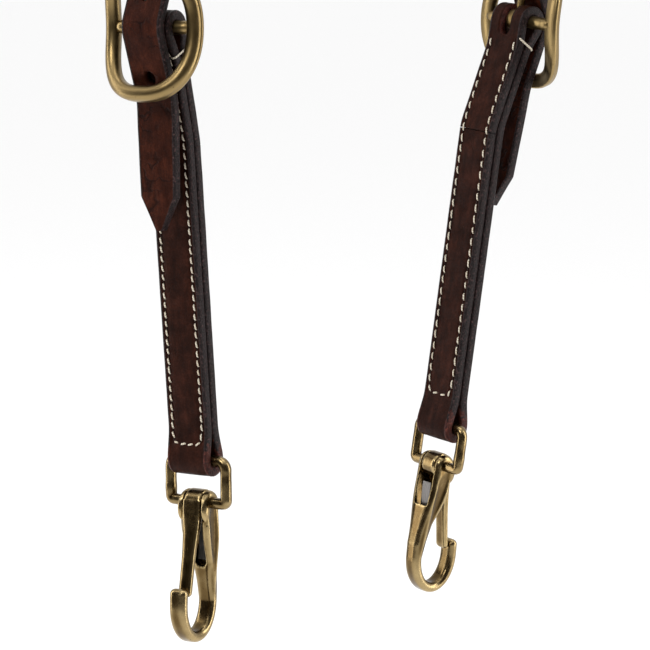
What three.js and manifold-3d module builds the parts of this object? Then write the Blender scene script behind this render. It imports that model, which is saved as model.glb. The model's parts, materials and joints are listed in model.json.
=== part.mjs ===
// Martingale fork: a doubled leather yoke hung from a brass ring, with an adjustable snap strap on each
// side. Millimetres, +Z up. The origin is the inside top of the centre ring, where the fork hangs.
import * as THREE from 'three';
import { mergeVertices } from 'three/addons/utils/BufferGeometryUtils.js';
import Module from 'manifold-3d';

const wasm = await Module();
wasm.setup();

// ---- driving dimensions ------------------------------------------------------------------------

const GAP = 0.3;                // working gap between touching pieces
const STRAP_WIDTH = 18;
const PLY = 3.8;                // bridle leather thickness
const PLY_OFFSET = 2.05;        // middle of each ply from the middle of the doubled strap
const EDGE_BEVEL = 0.7;
const HOLE_RADIUS = 2.5;
const HOLE_PITCH = 34;

const LEG = {
  bendHeight: 127.2,            // above this the strap leans out to the buckle bar
  jointHeight: 125,             // where the two ends of the folded strip meet on the back
  topFold: 11,                  // the top fold opens this far below the bar
  bottomFold: 11,               // the bottom fold opens this far above its loop
  rowOffset: 6.65,              // stitch rows from the middle of the strap
};
const BUCKLE = {
  barRadius: 2.5,
  halfWidth: 18.2,
  halfHeight: 23,
  bow: 8,                       // both ends curve this far in front of the bar
  tilt: 0.1,                    // and the lower end stands further out
  roundness: 2.7,
  wire: 6.3,
};
const TONGUE = { radius: 1.7, knuckle: 4.4, width: 5, slot: 5.8 };
const BILLET = {
  width: 17,
  tail: 74,                     // its tip below the bar
  point: 12.5,                  // length of the pointed end
  tipShare: 0.16,
  knee: 26,
  firstHole: 56,
  foldGap: 8.85,                // its middle from the bar, over the strap's top fold
  shoulderX: -2.4,
  shoulder: 24,
  topX: 1.8,
  straight: 222,
  top: 262,
};
const LOOP = { wire: 2.1, halfWidth: 12.6, height: 16, topCorner: 3.2, bottomCorner: 2.4, axis: 6.25 };
const HOOK = {
  boss: 4.9,
  width: 13,
  neckWidth: 7.2,
  slot: 8.4,
  slotFoot: 0.76,               // width of the channel's lower end, as a share
  bore: 2.45,
  depth: 53,
  reach: 23,
  strip: 4.2,
};
const GATE = { width: 7.8, endWidth: 5.4, knuckle: 5, length: 35.5 };
const SPRING = { width: 4.8, thickness: 0.6 };
const THREAD = { width: 0.9, height: 0.5, groove: 1.5, grooveDepth: 0.9 };
const YOKE = { ply: 3.2, width: 20, lapStart: 228, crown: -66, bow: 0.56, rowOffset: 8 };
const RING = { radius: 20.5, wire: 2.5 };
const CHAPE = { width: 14, ply: 2.8, neck: 9, eye: 4.3 };

// Where each leg hangs. facing is the way its front looks, in degrees round +Z from +X; sway tips the
// leg in the plane of its face; splay carries its top outward. bar is the buckle bar's place in front of
// the strap and above its bottom fold. The hang values are angles, and the shifts are across the strap.
const LEG_POSES = {
  left: { foot: [-62, 13.3], facing: 189.1, sway: 2.2, splay: 4.5, bar: [6.4, 169.2], tailX: 11.8, kneeX: 9,
    frameShift: -1.6, rowEnd: 12.4, loopShift: 1.2, loopHang: -4.5, hookHang: -4 },
  right: { foot: [60.8, -2.3], facing: -7.7, sway: 3, splay: 5.5, bar: [11.4, 169.7], tailX: 10.8, kneeX: 14,
    frameShift: -1.4, rowEnd: 18.3, loopShift: 0, loopHang: 0.5, hookHang: -3.6 },
};
const FOOT_Z = -404;

// ---- materials -----------------------------------------------------------------------------------

const leather = (name, color) => new THREE.MeshStandardMaterial({ name, color, roughness: 0.5 });
const MATERIALS = {
  havana: leather('havana_leather', 0x2c1512),
  chestnut: leather('chestnut_leather', 0x43201a),
  thread: new THREE.MeshStandardMaterial({ name: 'thread', color: 0xcdbd9f, roughness: 0.8 }),
  brass: new THREE.MeshStandardMaterial({ name: 'brass', color: 0x9c8142, roughness: 0.3, metalness: 1 }),
  steel: new THREE.MeshStandardMaterial({ name: 'spring_steel', color: 0x6f6b66, metalness: 1, roughness: 0.35 }),
};

// ---- solids --------------------------------------------------------------------------------------

const rad = THREE.MathUtils.degToRad;
const v2 = (x, y) => new THREE.Vector2(x, y);
const v3 = (x, y, z) => new THREE.Vector3(x, y, z);

function toSolid(geometry) {
  const bare = geometry.clone();
  for (const name of ['normal', 'uv']) bare.deleteAttribute(name);
  const merged = mergeVertices(bare, 1e-4);
  return new wasm.Manifold(new wasm.Mesh({
    numProp: 3,
    vertProperties: new Float32Array(merged.attributes.position.array),
    triVerts: new Uint32Array(merged.index.array),
  }));
}

function toGeometry(solid) {
  const mesh = solid.getMesh();
  const geometry = new THREE.BufferGeometry();
  geometry.setAttribute('position', new THREE.BufferAttribute(new Float32Array(mesh.vertProperties), 3));
  geometry.setIndex(new THREE.BufferAttribute(new Uint32Array(mesh.triVerts), 1));
  return geometry;
}

function combine(base, { add = [], cut = [] }) {
  let solid = toSolid(base);
  for (const geometry of add) solid = solid.add(toSolid(geometry));
  for (const geometry of cut) solid = solid.subtract(toSolid(geometry));
  return toGeometry(solid);
}

// Carries a convex outline along frames. Each frame has a point p, and vectors n and w that the
// outline's x and y follow; their lengths scale the outline.
function sweep(outline, frames, closed = false) {
  const count = outline.length;
  const positions = frames.flatMap(({ p, n, w }) => outline.flatMap((q) =>
    p.clone().addScaledVector(n, q.x).addScaledVector(w, q.y).toArray()));
  const index = [];
  const last = closed ? frames.length : frames.length - 1;
  for (let i = 0; i < last; i += 1) {
    const here = i * count;
    const next = ((i + 1) % frames.length) * count;
    for (let j = 0; j < count; j += 1) {
      const k = (j + 1) % count;
      index.push(here + j, next + j, next + k, here + j, next + k, here + k);
    }
  }
  if (!closed) {
    const end = (frames.length - 1) * count;
    for (let j = 1; j < count - 1; j += 1) {
      index.push(0, j, j + 1, end, end + j + 1, end + j);
    }
  }
  const geometry = new THREE.BufferGeometry();
  geometry.setAttribute('position', new THREE.Float32BufferAttribute(positions, 3));
  geometry.setIndex(index);
  return facingOut(geometry);
}

// Turns the faces over when they enclose a negative volume.
function facingOut(geometry) {
  const p = geometry.attributes.position;
  const faces = geometry.index.array;
  let volume = 0;
  for (let i = 0; i < faces.length; i += 3) {
    const [a, b, c] = [0, 1, 2].map((k) => new THREE.Vector3().fromBufferAttribute(p, faces[i + k]));
    volume += a.dot(b.cross(c));
  }
  if (volume < 0) geometry.setIndex([...faces].reverse());
  return geometry;
}

// A rectangle with its four corners bevelled: x is the thickness, y the width.
function slabOutline(thickness, width, bevel) {
  const [x, y] = [thickness / 2, width / 2];
  return [v2(x, bevel - y), v2(x, y - bevel), v2(x - bevel, y), v2(bevel - x, y),
    v2(-x, y - bevel), v2(-x, bevel - y), v2(bevel - x, -y), v2(x - bevel, -y)];
}

function plainOutline(thickness, width) {
  const [x, y] = [thickness / 2, width / 2];
  return [v2(x, -y), v2(x, y), v2(-x, y), v2(-x, -y)];
}

function roundOutline(radius, sides) {
  return Array.from({ length: sides }, (_, i) => {
    const angle = (2 * Math.PI * (i + 0.5)) / sides;
    return v2(radius * Math.cos(angle), radius * Math.sin(angle));
  });
}

// Tangent at each point of a run, from its neighbours.
function tangents(points, closed = false) {
  const at = (i) => (closed ? points[(i + points.length) % points.length]
    : points[THREE.MathUtils.clamp(i, 0, points.length - 1)]);
  return points.map((point, i) => {
    const before = point.clone().sub(at(i - 1)).normalize();
    const after = at(i + 1).clone().sub(point).normalize();
    return before.add(after).normalize();
  });
}

// Frames of a strap whose middle line lies in the XZ plane and whose width is along Y.
function strapFrames(line, widthAt = () => 1) {
  const points = line.map((q) => v3(q.x, 0, q.y));
  return tangents(points).map((t, i) => ({ p: points[i], n: v3(t.z, 0, -t.x), w: v3(0, widthAt(i), 0) }));
}

// Frames of a thread that runs over a surface, given the surface normal at each point.
function threadFrames(points, normals, closed = false) {
  return tangents(points, closed).map((t, i) => {
    const before = points[(i + points.length - 1) % points.length];
    const run = points[i].clone().sub(before).normalize();
    const half = i === 0 && !closed ? 1 : Math.max(0.6, t.dot(run));
    return { p: points[i], n: normals[i], w: t.clone().cross(normals[i]).normalize().divideScalar(half) };
  });
}

// A stitched row: its thread, and the groove that it lies in. A groove with ends runs on past them.
function threadRow(points, normals, closed = false) {
  const sunk = points.map((p, i) => p.clone().addScaledVector(normals[i], -THREAD.height / 2 - 0.05));
  const bed = points.map((p) => p.clone());
  if (!closed) {
    const [first, second] = points;
    const [beforeLast, last] = points.slice(-2);
    bed[0].addScaledVector(first.clone().sub(second).normalize(), 0.5);
    bed[bed.length - 1].addScaledVector(last.clone().sub(beforeLast).normalize(), 0.5);
  }
  const threadOutline = plainOutline(THREAD.height, THREAD.width);
  const grooveOutline = plainOutline(2 * THREAD.grooveDepth, THREAD.groove);
  return {
    thread: sweep(threadOutline, threadFrames(sunk, normals, closed), closed),
    groove: sweep(grooveOutline, threadFrames(bed, normals, closed), closed),
  };
}

// A profile drawn in the XZ plane, extruded along Y and centred on it.
function profile(shape, width, bevel = 0, segments = 1) {
  const geometry = new THREE.ExtrudeGeometry(shape, {
    depth: width - 2 * bevel,
    bevelEnabled: bevel > 0,
    bevelThickness: bevel,
    bevelSize: bevel,
    bevelOffset: -bevel,
    bevelSegments: segments,
    curveSegments: 6,
  });
  geometry.translate(0, 0, bevel - width / 2);
  return geometry.rotateX(Math.PI / 2);
}

const rodAlongY = (radius, length, sides = 20) => new THREE.CylinderGeometry(radius, radius, length, sides);

// ---- leather strap of one leg ----------------------------------------------------------------------

// The middle line of a ply that folds round a pin. towards is the direction from the pin to the strap.
function foldLine(pin, radius, reach, towards) {
  const along = v2(Math.cos(rad(towards)), Math.sin(rad(towards)));
  const side = v2(-along.y, along.x);
  const flare = THREE.MathUtils.radToDeg(Math.asin((radius - PLY_OFFSET) / reach));
  const end = (sign) => pin.clone().addScaledVector(along, reach).addScaledVector(side, sign * PLY_OFFSET);
  const first = towards + 90 - flare;
  const span = 180 + 2 * flare;
  const steps = 12;
  const arc = Array.from({ length: steps + 1 }, (_, i) => {
    const angle = rad(first + (span * i) / steps);
    return v2(pin.x + radius * Math.cos(angle), pin.y + radius * Math.sin(angle));
  });
  return [end(1), ...arc, end(-1)];
}

const LOOP_PIN = v2(0, LOOP.axis);

// What a leg's leather follows: its bar, the angle its top leans at, and the normal and way down there.
function topOf(pose) {
  const bar = v2(...pose.bar);
  const lean = Math.atan2(bar.x, bar.y - LEG.bendHeight);
  const outward = v2(Math.cos(lean), -Math.sin(lean));
  return { bar, lean, outward, downward: v2(-Math.sin(lean), -Math.cos(lean)) };
}

// A line that runs up one side of the doubled strap, offset from its middle, through its bend.
function sideLine(top, offset, low, reach) {
  const half = offset * Math.tan(top.lean / 2);
  return [v2(offset, low), v2(offset, LEG.bendHeight + half),
    top.bar.clone().addScaledVector(top.downward, reach).addScaledVector(top.outward, offset)];
}

function strapLine(top) {
  const towards = -90 - THREE.MathUtils.radToDeg(top.lean);
  const topFold = foldLine(top.bar, BUCKLE.barRadius + 0.35 + PLY / 2, LEG.topFold, towards).reverse();
  const bottomFold = foldLine(LOOP_PIN, LOOP.wire + 0.35 + PLY / 2, LEG.bottomFold, 90).reverse();
  const back = sideLine(top, -PLY_OFFSET, LEG.jointHeight, LEG.topFold);
  const front = sideLine(top, PLY_OFFSET, LEG.jointHeight, LEG.topFold);
  return [v2(-PLY_OFFSET, LEG.jointHeight + GAP), back[1], ...topFold, front[1], ...bottomFold,
    v2(-PLY_OFFSET, LEG.jointHeight - GAP)];
}

// A U of thread on the front (side 1) or back (side -1): down one edge, across, and up the other.
function strapRow(top, side, rowEnd) {
  const face = side * (PLY_OFFSET + PLY / 2);
  const [low, bend, high] = sideLine(top, face, rowEnd, LEG.topFold - 1);
  const tilted = v3(top.outward.x, 0, top.outward.y).multiplyScalar(side);
  const level = v3(side, 0, 0);
  const at = (q, y) => v3(q.x, y, q.y);
  const y = LEG.rowOffset;
  const points = [at(high, y), at(bend, y), at(low, y), at(low, -y), at(bend, -y), at(high, -y)];
  const between = tilted.clone().add(level).normalize();
  return threadRow(points, [tilted, between, level, level, between, tilted]);
}

function strapSolid(top, rows) {
  const body = sweep(slabOutline(PLY, STRAP_WIDTH, EDGE_BEVEL), strapFrames(strapLine(top)));
  const slot = new THREE.Shape();
  slot.absarc(0, 0, TONGUE.slot / 2, Math.PI, 2 * Math.PI);
  slot.lineTo(TONGUE.slot / 2, 14);
  slot.lineTo(-TONGUE.slot / 2, 14);
  const slotCut = new THREE.ExtrudeGeometry(slot, { depth: 30, bevelEnabled: false, curveSegments: 6 });
  slotCut.translate(0, 0, -15).rotateX(Math.PI / 2).rotateZ(Math.PI / 2);
  slotCut.translate(top.bar.x, 0, top.bar.y - 3.4);
  return combine(body, { cut: [slotCut, ...rows.map((row) => row.groove)] });
}

// ---- billet: the punched strap that comes down through the buckle ----------------------------------

// A corner rounded by an arc, as points.
function roundedCorner(before, corner, after, radius, steps) {
  const a = before.clone().sub(corner).normalize();
  const b = after.clone().sub(corner).normalize();
  const half = Math.acos(THREE.MathUtils.clamp(a.dot(b), -1, 1)) / 2;
  const reach = radius / Math.tan(half);
  const start = corner.clone().addScaledVector(a, reach);
  const end = corner.clone().addScaledVector(b, reach);
  const centre = corner.clone().addScaledVector(a.clone().add(b).normalize(), radius / Math.sin(half));
  const from = start.clone().sub(centre);
  const turn = Math.PI - 2 * half;
  const sign = Math.sign(from.cross(end.clone().sub(centre)));
  return Array.from({ length: steps + 1 }, (_, i) =>
    centre.clone().add(from.clone().rotateAround(v2(0, 0), (sign * turn * i) / steps)));
}

// The corner of the two lines that run from below and above, and touch the front of a circle.
function cornerRound(centre, radius, below, above) {
  const slope = (from, sign) => {
    const run = centre.clone().sub(from);
    return Math.asin(radius / run.length()) + Math.atan2(sign * run.x, Math.abs(run.y));
  };
  const [low, high] = [slope(below, 1), slope(above, 1)];
  const reach = radius / Math.cos((low + high) / 2);
  const angle = (high - low) / 2;
  return v2(centre.x + reach * Math.cos(angle), centre.y + reach * Math.sin(angle));
}

function billetLine(pose) {
  const bar = v2(...pose.bar);
  const tip = v2(pose.tailX, bar.y - BILLET.tail);
  const knee = v2(pose.kneeX, bar.y - BILLET.knee);
  const shoulder = v2(bar.x + BILLET.shoulderX, bar.y + BILLET.shoulder);
  const nose = cornerRound(bar, BILLET.foldGap, knee, shoulder);
  const straight = v2(BILLET.topX, BILLET.straight);
  const top = v2(BILLET.topX, BILLET.top);
  return [
    ...[0, BILLET.point].map((s) => v2(tip.x, tip.y + s)),
    ...roundedCorner(tip, knee, nose, 30, 3),
    ...roundedCorner(knee, nose, shoulder, BILLET.foldGap, 7),
    ...roundedCorner(nose, shoulder, straight, 14, 3),
    ...roundedCorner(shoulder, straight, top, 30, 2),
    top,
  ];
}

// Width of the billet as a share of the full width, at a distance from its tip: a point, then a taper.
function tipWidth(distance) {
  const full = THREE.MathUtils.lerp(0.9, 1, Math.min(1, distance / (3 * BILLET.point)));
  return full * THREE.MathUtils.lerp(BILLET.tipShare, 1, Math.min(1, distance / BILLET.point));
}

// The point and normal of a line at a distance along it.
function alongLine(line, distance) {
  let left = distance;
  let i = 0;
  while (left > line[i].distanceTo(line[i + 1])) {
    left -= line[i].distanceTo(line[i + 1]);
    i += 1;
  }
  const run = line[i + 1].clone().sub(line[i]).normalize();
  return { point: line[i].clone().addScaledVector(run, left), angle: Math.atan2(run.y, run.x) };
}

function billetSolid(pose) {
  const line = billetLine(pose);
  const tipHeight = line[0].y;
  const frames = strapFrames(line, (i) => tipWidth(line[i].y - tipHeight));
  const body = sweep(slabOutline(PLY, BILLET.width, EDGE_BEVEL), frames);
  const holes = [0, 1, 2].map((i) => {
    const { point, angle } = alongLine(line, BILLET.firstHole + i * HOLE_PITCH);
    const worked = i === 1;                                 // the hole in use is drawn out by the tongue
    const hole = new THREE.CylinderGeometry(HOLE_RADIUS, HOLE_RADIUS, 3 * PLY, 14);
    hole.scale(1, 1, worked ? 2.1 : 1).rotateZ(Math.PI / 2);
    return hole.rotateY(Math.PI / 2 - angle).translate(point.x, 0, point.y);
  });
  return combine(body, { cut: holes });
}

// ---- buckle ------------------------------------------------------------------------------------------

// An oval frame with its ends bowed forward of the centre bar, which is cast in one with it.
function buckleFrame() {
  const { halfWidth, halfHeight, bow, tilt, roundness, wire, barRadius } = BUCKLE;
  const steps = 36;
  const points = Array.from({ length: steps }, (_, i) => {
    const angle = (2 * Math.PI * i) / steps;
    const [c, s] = [Math.cos(angle), Math.sin(angle)];
    const curve = (value) => Math.sign(value) * Math.abs(value) ** (2 / roundness);
    const z = curve(s) * halfHeight;
    return v3(bow * (z / halfHeight) ** 2 - tilt * z, curve(c) * halfWidth, z);
  });
  const frames = tangents(points, true).map((t, i) => {
    const w = t.clone().cross(v3(1, 0, 0)).normalize();
    return { p: points[i], n: w.clone().cross(t).normalize(), w };
  });
  const h = wire / 2;
  const section = [v2(-1.9, -0.72 * h), v2(-0.6, -h), v2(0.9, -0.94 * h), v2(2.2, -0.6 * h), v2(2.8, 0),
    v2(2.2, 0.6 * h), v2(0.9, 0.94 * h), v2(-0.6, h), v2(-1.9, 0.72 * h)];
  return combine(sweep(section, frames, true), { add: [rodAlongY(barRadius, 2 * halfWidth, 16)] });
}

// The tongue turns on the bar, passes out through the billet and rests on the top of the frame.
function buckleTongue() {
  const curve = new THREE.CatmullRomCurve3([
    v3(0.4, 0, 2.9), v3(0.4, 0, 6.6), v3(0.7, 0, 11), v3(2.4, 0, 14.8),
    v3(6, 0, 17.4), v3(9.5, 0, 20.2), v3(10.5, 0, 24.4), v3(10.3, 0, 28),
  ]);
  const points = curve.getPoints(14);
  const taper = (i) => 1 - 0.25 * (i / 14);
  const frames = tangents(points).map((t, i) => ({
    p: points[i], n: v3(t.z, 0, -t.x).multiplyScalar(taper(i)), w: v3(0, taper(i), 0),
  }));
  const prong = sweep(roundOutline(TONGUE.radius, 8), frames);
  return combine(rodAlongY(TONGUE.knuckle, TONGUE.width), {
    add: [prong], cut: [rodAlongY(BUCKLE.barRadius + GAP, 3 * TONGUE.width)],
  });
}

// ---- snap ----------------------------------------------------------------------------------------------

// A rounded rectangle of wire, origin on the middle of its top bar.
function snapLoop() {
  const { halfWidth, height, topCorner, bottomCorner, wire } = LOOP;
  const corner = (y, z, radius, from) => Array.from({ length: 5 }, (_, i) => {
    const angle = rad(from + (90 * i) / 4);
    return v3(0, y + radius * Math.cos(angle), z + radius * Math.sin(angle));
  });
  const points = [
    ...corner(halfWidth - topCorner, -topCorner, topCorner, 0),
    ...corner(topCorner - halfWidth, -topCorner, topCorner, 90),
    ...corner(bottomCorner - halfWidth, bottomCorner - height, bottomCorner, 180),
    ...corner(halfWidth - bottomCorner, bottomCorner - height, bottomCorner, 270),
  ];
  const frames = tangents(points, true).map((t, i) => ({
    p: points[i], n: v3(1, 0, 0), w: t.clone().cross(v3(1, 0, 0)).normalize(),
  }));
  return sweep(roundOutline(wire, 10), frames, true);
}

// Side view of the hook, origin on its pivot: a boss, a spine down the back, and a J to a tip in front.
function hookShape() {
  const { boss, depth, reach, strip } = HOOK;
  const [outer, inner] = [reach / 2, reach / 2 - strip];
  const centre = v2(1.9, -38);
  const shape = new THREE.Shape();
  shape.absarc(0, 0, boss, rad(-20), rad(180));
  shape.quadraticCurveTo(-6.2, -14, centre.x - outer, centre.y + 6);
  shape.absellipse(centre.x, centre.y, outer, depth + centre.y, Math.PI, 2 * Math.PI);
  shape.lineTo(centre.x + outer, centre.y + 4.2);
  shape.absarc(centre.x + outer - strip / 2, centre.y + 4.2, strip / 2, 0, Math.PI);
  shape.absellipse(centre.x, centre.y, inner, depth + centre.y - strip, 2 * Math.PI, Math.PI, true);
  shape.quadraticCurveTo(-3.2, -29, -2.2, -24);
  shape.quadraticCurveTo(2.6, -15, 3.4, -9);
  return shape;
}

// The channel that the gate and its spring lie in: right through at the top, open to the front below,
// where it narrows.
function hookChannel() {
  const narrowing = -7.9;
  const fork = [v2(-14, 9), v2(9, 9), v2(9, -8), v2(-14, -8)];
  const trough = [v2(-14, narrowing), v2(9, narrowing), v2(9, -17), v2(-2, -24.5), v2(-4.3, -24.5),
    v2(-5.2, -19), v2(-4.9, -12.5), v2(-14, -12.5)];
  return [
    profile(new THREE.Shape(fork), HOOK.slot),
    narrowed(profile(new THREE.Shape(trough), HOOK.slot), narrowing, -24.5, HOOK.slotFoot),
  ];
}

// Narrows a piece evenly between two heights; share is its width at the lower one.
function narrowed(geometry, from, to, share) {
  const p = geometry.attributes.position;
  for (let i = 0; i < p.count; i += 1) {
    const t = THREE.MathUtils.clamp((from - p.getZ(i)) / (from - to), 0, 1);
    p.setY(i, p.getY(i) * THREE.MathUtils.lerp(1, share, t));
  }
  return geometry;
}

function snapHook() {
  const body = narrowed(profile(hookShape(), HOOK.width, 0.9), -12, -36, HOOK.neckWidth / HOOK.width);
  return combine(body, { cut: [...hookChannel(), rodAlongY(HOOK.bore, 2 * HOOK.width)] });
}

// The gate: a knuckle on the pivot between the hook's lugs, and a blade that closes inside the tip.
function snapGate() {
  const { width, endWidth, knuckle, length } = GATE;
  const blade = new THREE.Shape([v2(-0.4, -3.6), v2(3.9, 0), v2(4.7, -3), v2(8.7, 2 - length),
    v2(8.2, -length), v2(7.2, -length), v2(5.9, 2 - length), v2(2.3, -9)]);
  const body = narrowed(profile(blade, width, 0.7), -4, -length, endWidth / width);
  return combine(rodAlongY(knuckle, width), { add: [body], cut: [rodAlongY(HOOK.bore, 3 * width)] });
}

// A flat steel strip in the channel behind the gate.
function snapSpring() {
  const curve = new THREE.QuadraticBezierCurve(v2(-3.9, -22.4), v2(-4.5, -15), v2(-3.8, -7.2));
  return sweep(slabOutline(SPRING.thickness, SPRING.width, 0.15), strapFrames(curve.getPoints(6)));
}

// ---- assembly helpers --------------------------------------------------------------------------------

const martingale = new THREE.Group();

function place(parent, name, geometry, material) {
  const mesh = new THREE.Mesh(geometry, material);
  mesh.name = name;
  parent.add(mesh);
  return mesh;
}

function groupAt(parent, x, y, z, tilt = 0) {
  const group = new THREE.Group();
  group.position.set(x, y, z);
  group.rotation.y = rad(tilt);
  parent.add(group);
  return group;
}

// ---- one leg -------------------------------------------------------------------------------------------

function buildLeg(side, pose) {
  const leg = new THREE.Group();
  leg.position.set(...pose.foot, FOOT_Z);
  leg.rotation.set(rad(pose.sway), rad(pose.splay), rad(pose.facing), 'ZXY');
  martingale.add(leg);

  const top = topOf(pose);
  const rows = [1, -1].map((face) => strapRow(top, face, pose.rowEnd));
  place(leg, `${side}_strap`, strapSolid(top, rows), MATERIALS.havana);
  place(leg, `${side}_strap_front_stitching`, rows[0].thread, MATERIALS.thread);
  place(leg, `${side}_strap_back_stitching`, rows[1].thread, MATERIALS.thread);
  place(leg, `${side}_billet`, billetSolid(pose), MATERIALS.chestnut);

  const buckle = groupAt(leg, top.bar.x, 0, top.bar.y);
  place(buckle, `${side}_buckle_frame`, buckleFrame(), MATERIALS.brass).position.y = pose.frameShift;
  place(buckle, `${side}_buckle_tongue`, buckleTongue(), MATERIALS.brass);

  const loop = groupAt(leg, LOOP_PIN.x, pose.loopShift, LOOP_PIN.y, pose.loopHang);
  place(loop, `${side}_snap_loop`, snapLoop(), MATERIALS.brass);
  const hook = groupAt(loop, 0, 0, -LOOP.height, pose.hookHang);
  place(hook, `${side}_snap_hook`, snapHook(), MATERIALS.brass);
  place(hook, `${side}_snap_gate`, snapGate(), MATERIALS.brass);
  place(hook, `${side}_snap_spring`, snapSpring(), MATERIALS.steel);
  leg.updateMatrixWorld(true);
  return leg;
}

// ---- yoke: two plies stitched together over the top, with a billet sewn in at each end --------------------

// Where a leg's billet stands at a height above its foot, and the way it faces.
function billetStation(leg, height) {
  return {
    p: v3(BILLET.topX, 0, height).applyMatrix4(leg.matrixWorld),
    up: v3(0, 0, 1).transformDirection(leg.matrixWorld),
    across: v3(0, 1, 0).transformDirection(leg.matrixWorld),
  };
}

// Stations from the left lap, over the crown, to the right lap. lap is 1 where the billet lies between
// the plies and 0 where they lie together.
function yokeStations(left, right) {
  const heights = [YOKE.lapStart, BILLET.top + GAP, BILLET.top + 9];
  const [lapA, endA, topA] = heights.map((z) => billetStation(left, z));
  const [lapB, endB, topB] = heights.map((z) => billetStation(right, z));
  const level = topB.p.clone().sub(topA.p).setZ(0);
  const reach = level.length() / 2;
  level.normalize();
  const crown = v3((topA.p.x + topB.p.x) / 2, (topA.p.y + topB.p.y) / 2, YOKE.crown);
  const quarter = (from, to) => new THREE.CubicBezierCurve3(from.p,
    from.p.clone().addScaledVector(from.up, YOKE.bow * (crown.z - from.p.z)),
    crown.clone().addScaledVector(level, to * YOKE.bow * reach), crown);
  const steps = 7;
  const rise = quarter(topA, -1).getPoints(steps);
  const fall = quarter(topB, 1).getPoints(steps).reverse();
  const points = [lapA.p, endA.p, ...rise, ...fall.slice(1), endB.p, lapB.p];
  const crownAcross = v3(-level.y, level.x, 0);
  const last = points.length - 1;
  return tangents(points).map((t, i) => {
    const share = THREE.MathUtils.clamp((i - 2) / (last - 4), 0, 1);
    const end = share < 0.5 ? topA.across.clone().negate() : topB.across.clone();
    const guide = end.lerp(crownAcross, 1 - Math.abs(2 * share - 1));
    const w = guide.addScaledVector(t, -guide.dot(t)).normalize();
    const lap = i < 2 || i > last - 2 ? 1 : 0;
    return { p: points[i], n: t.clone().cross(w).normalize(), w, lap };
  });
}

// The same stations carried along the yoke's normal to one ply's middle or face.
function yokeFrames(stations, side, face = 0) {
  return stations.map(({ p, n, w, lap }) => {
    const spread = lap * (PLY / 2 + GAP) + (1 - lap) * (GAP / 2);
    return { p: p.clone().addScaledVector(n, side * (spread + YOKE.ply * (0.5 + face))), n, w };
  });
}

function buildYoke(left, right) {
  const stations = yokeStations(left, right);
  const names = { 1: 'yoke_outer_ply', [-1]: 'yoke_lining_ply' };
  const rowNames = { 1: 'yoke_outer_stitching', [-1]: 'yoke_lining_stitching' };
  for (const side of [1, -1]) {
    const ply = sweep(slabOutline(YOKE.ply, YOKE.width, EDGE_BEVEL), yokeFrames(stations, side));
    const face = yokeFrames(stations, side, 0.5);
    const inset = 5;                                       // the end rows lie this far in from the ends
    const [a, b] = [face[0], face[face.length - 1]];
    a.p.addScaledVector(face[1].p.clone().sub(a.p).normalize(), inset);
    b.p.addScaledVector(face[face.length - 2].p.clone().sub(b.p).normalize(), inset);
    const edge = (y) => face.map(({ p, w }) => p.clone().addScaledVector(w, y));
    const normals = face.map(({ n }) => n.clone().multiplyScalar(side));
    const points = [...edge(YOKE.rowOffset), ...edge(-YOKE.rowOffset).reverse()];
    const row = threadRow(points, [...normals, ...[...normals].reverse()], true);
    place(martingale, names[side], combine(ply, { cut: [row.groove] }), MATERIALS.chestnut);
    place(martingale, rowNames[side], row.thread, MATERIALS.thread);
  }
  return stations[Math.floor(stations.length / 2)];
}

// ---- ring and its chape ---------------------------------------------------------------------------------

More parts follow.
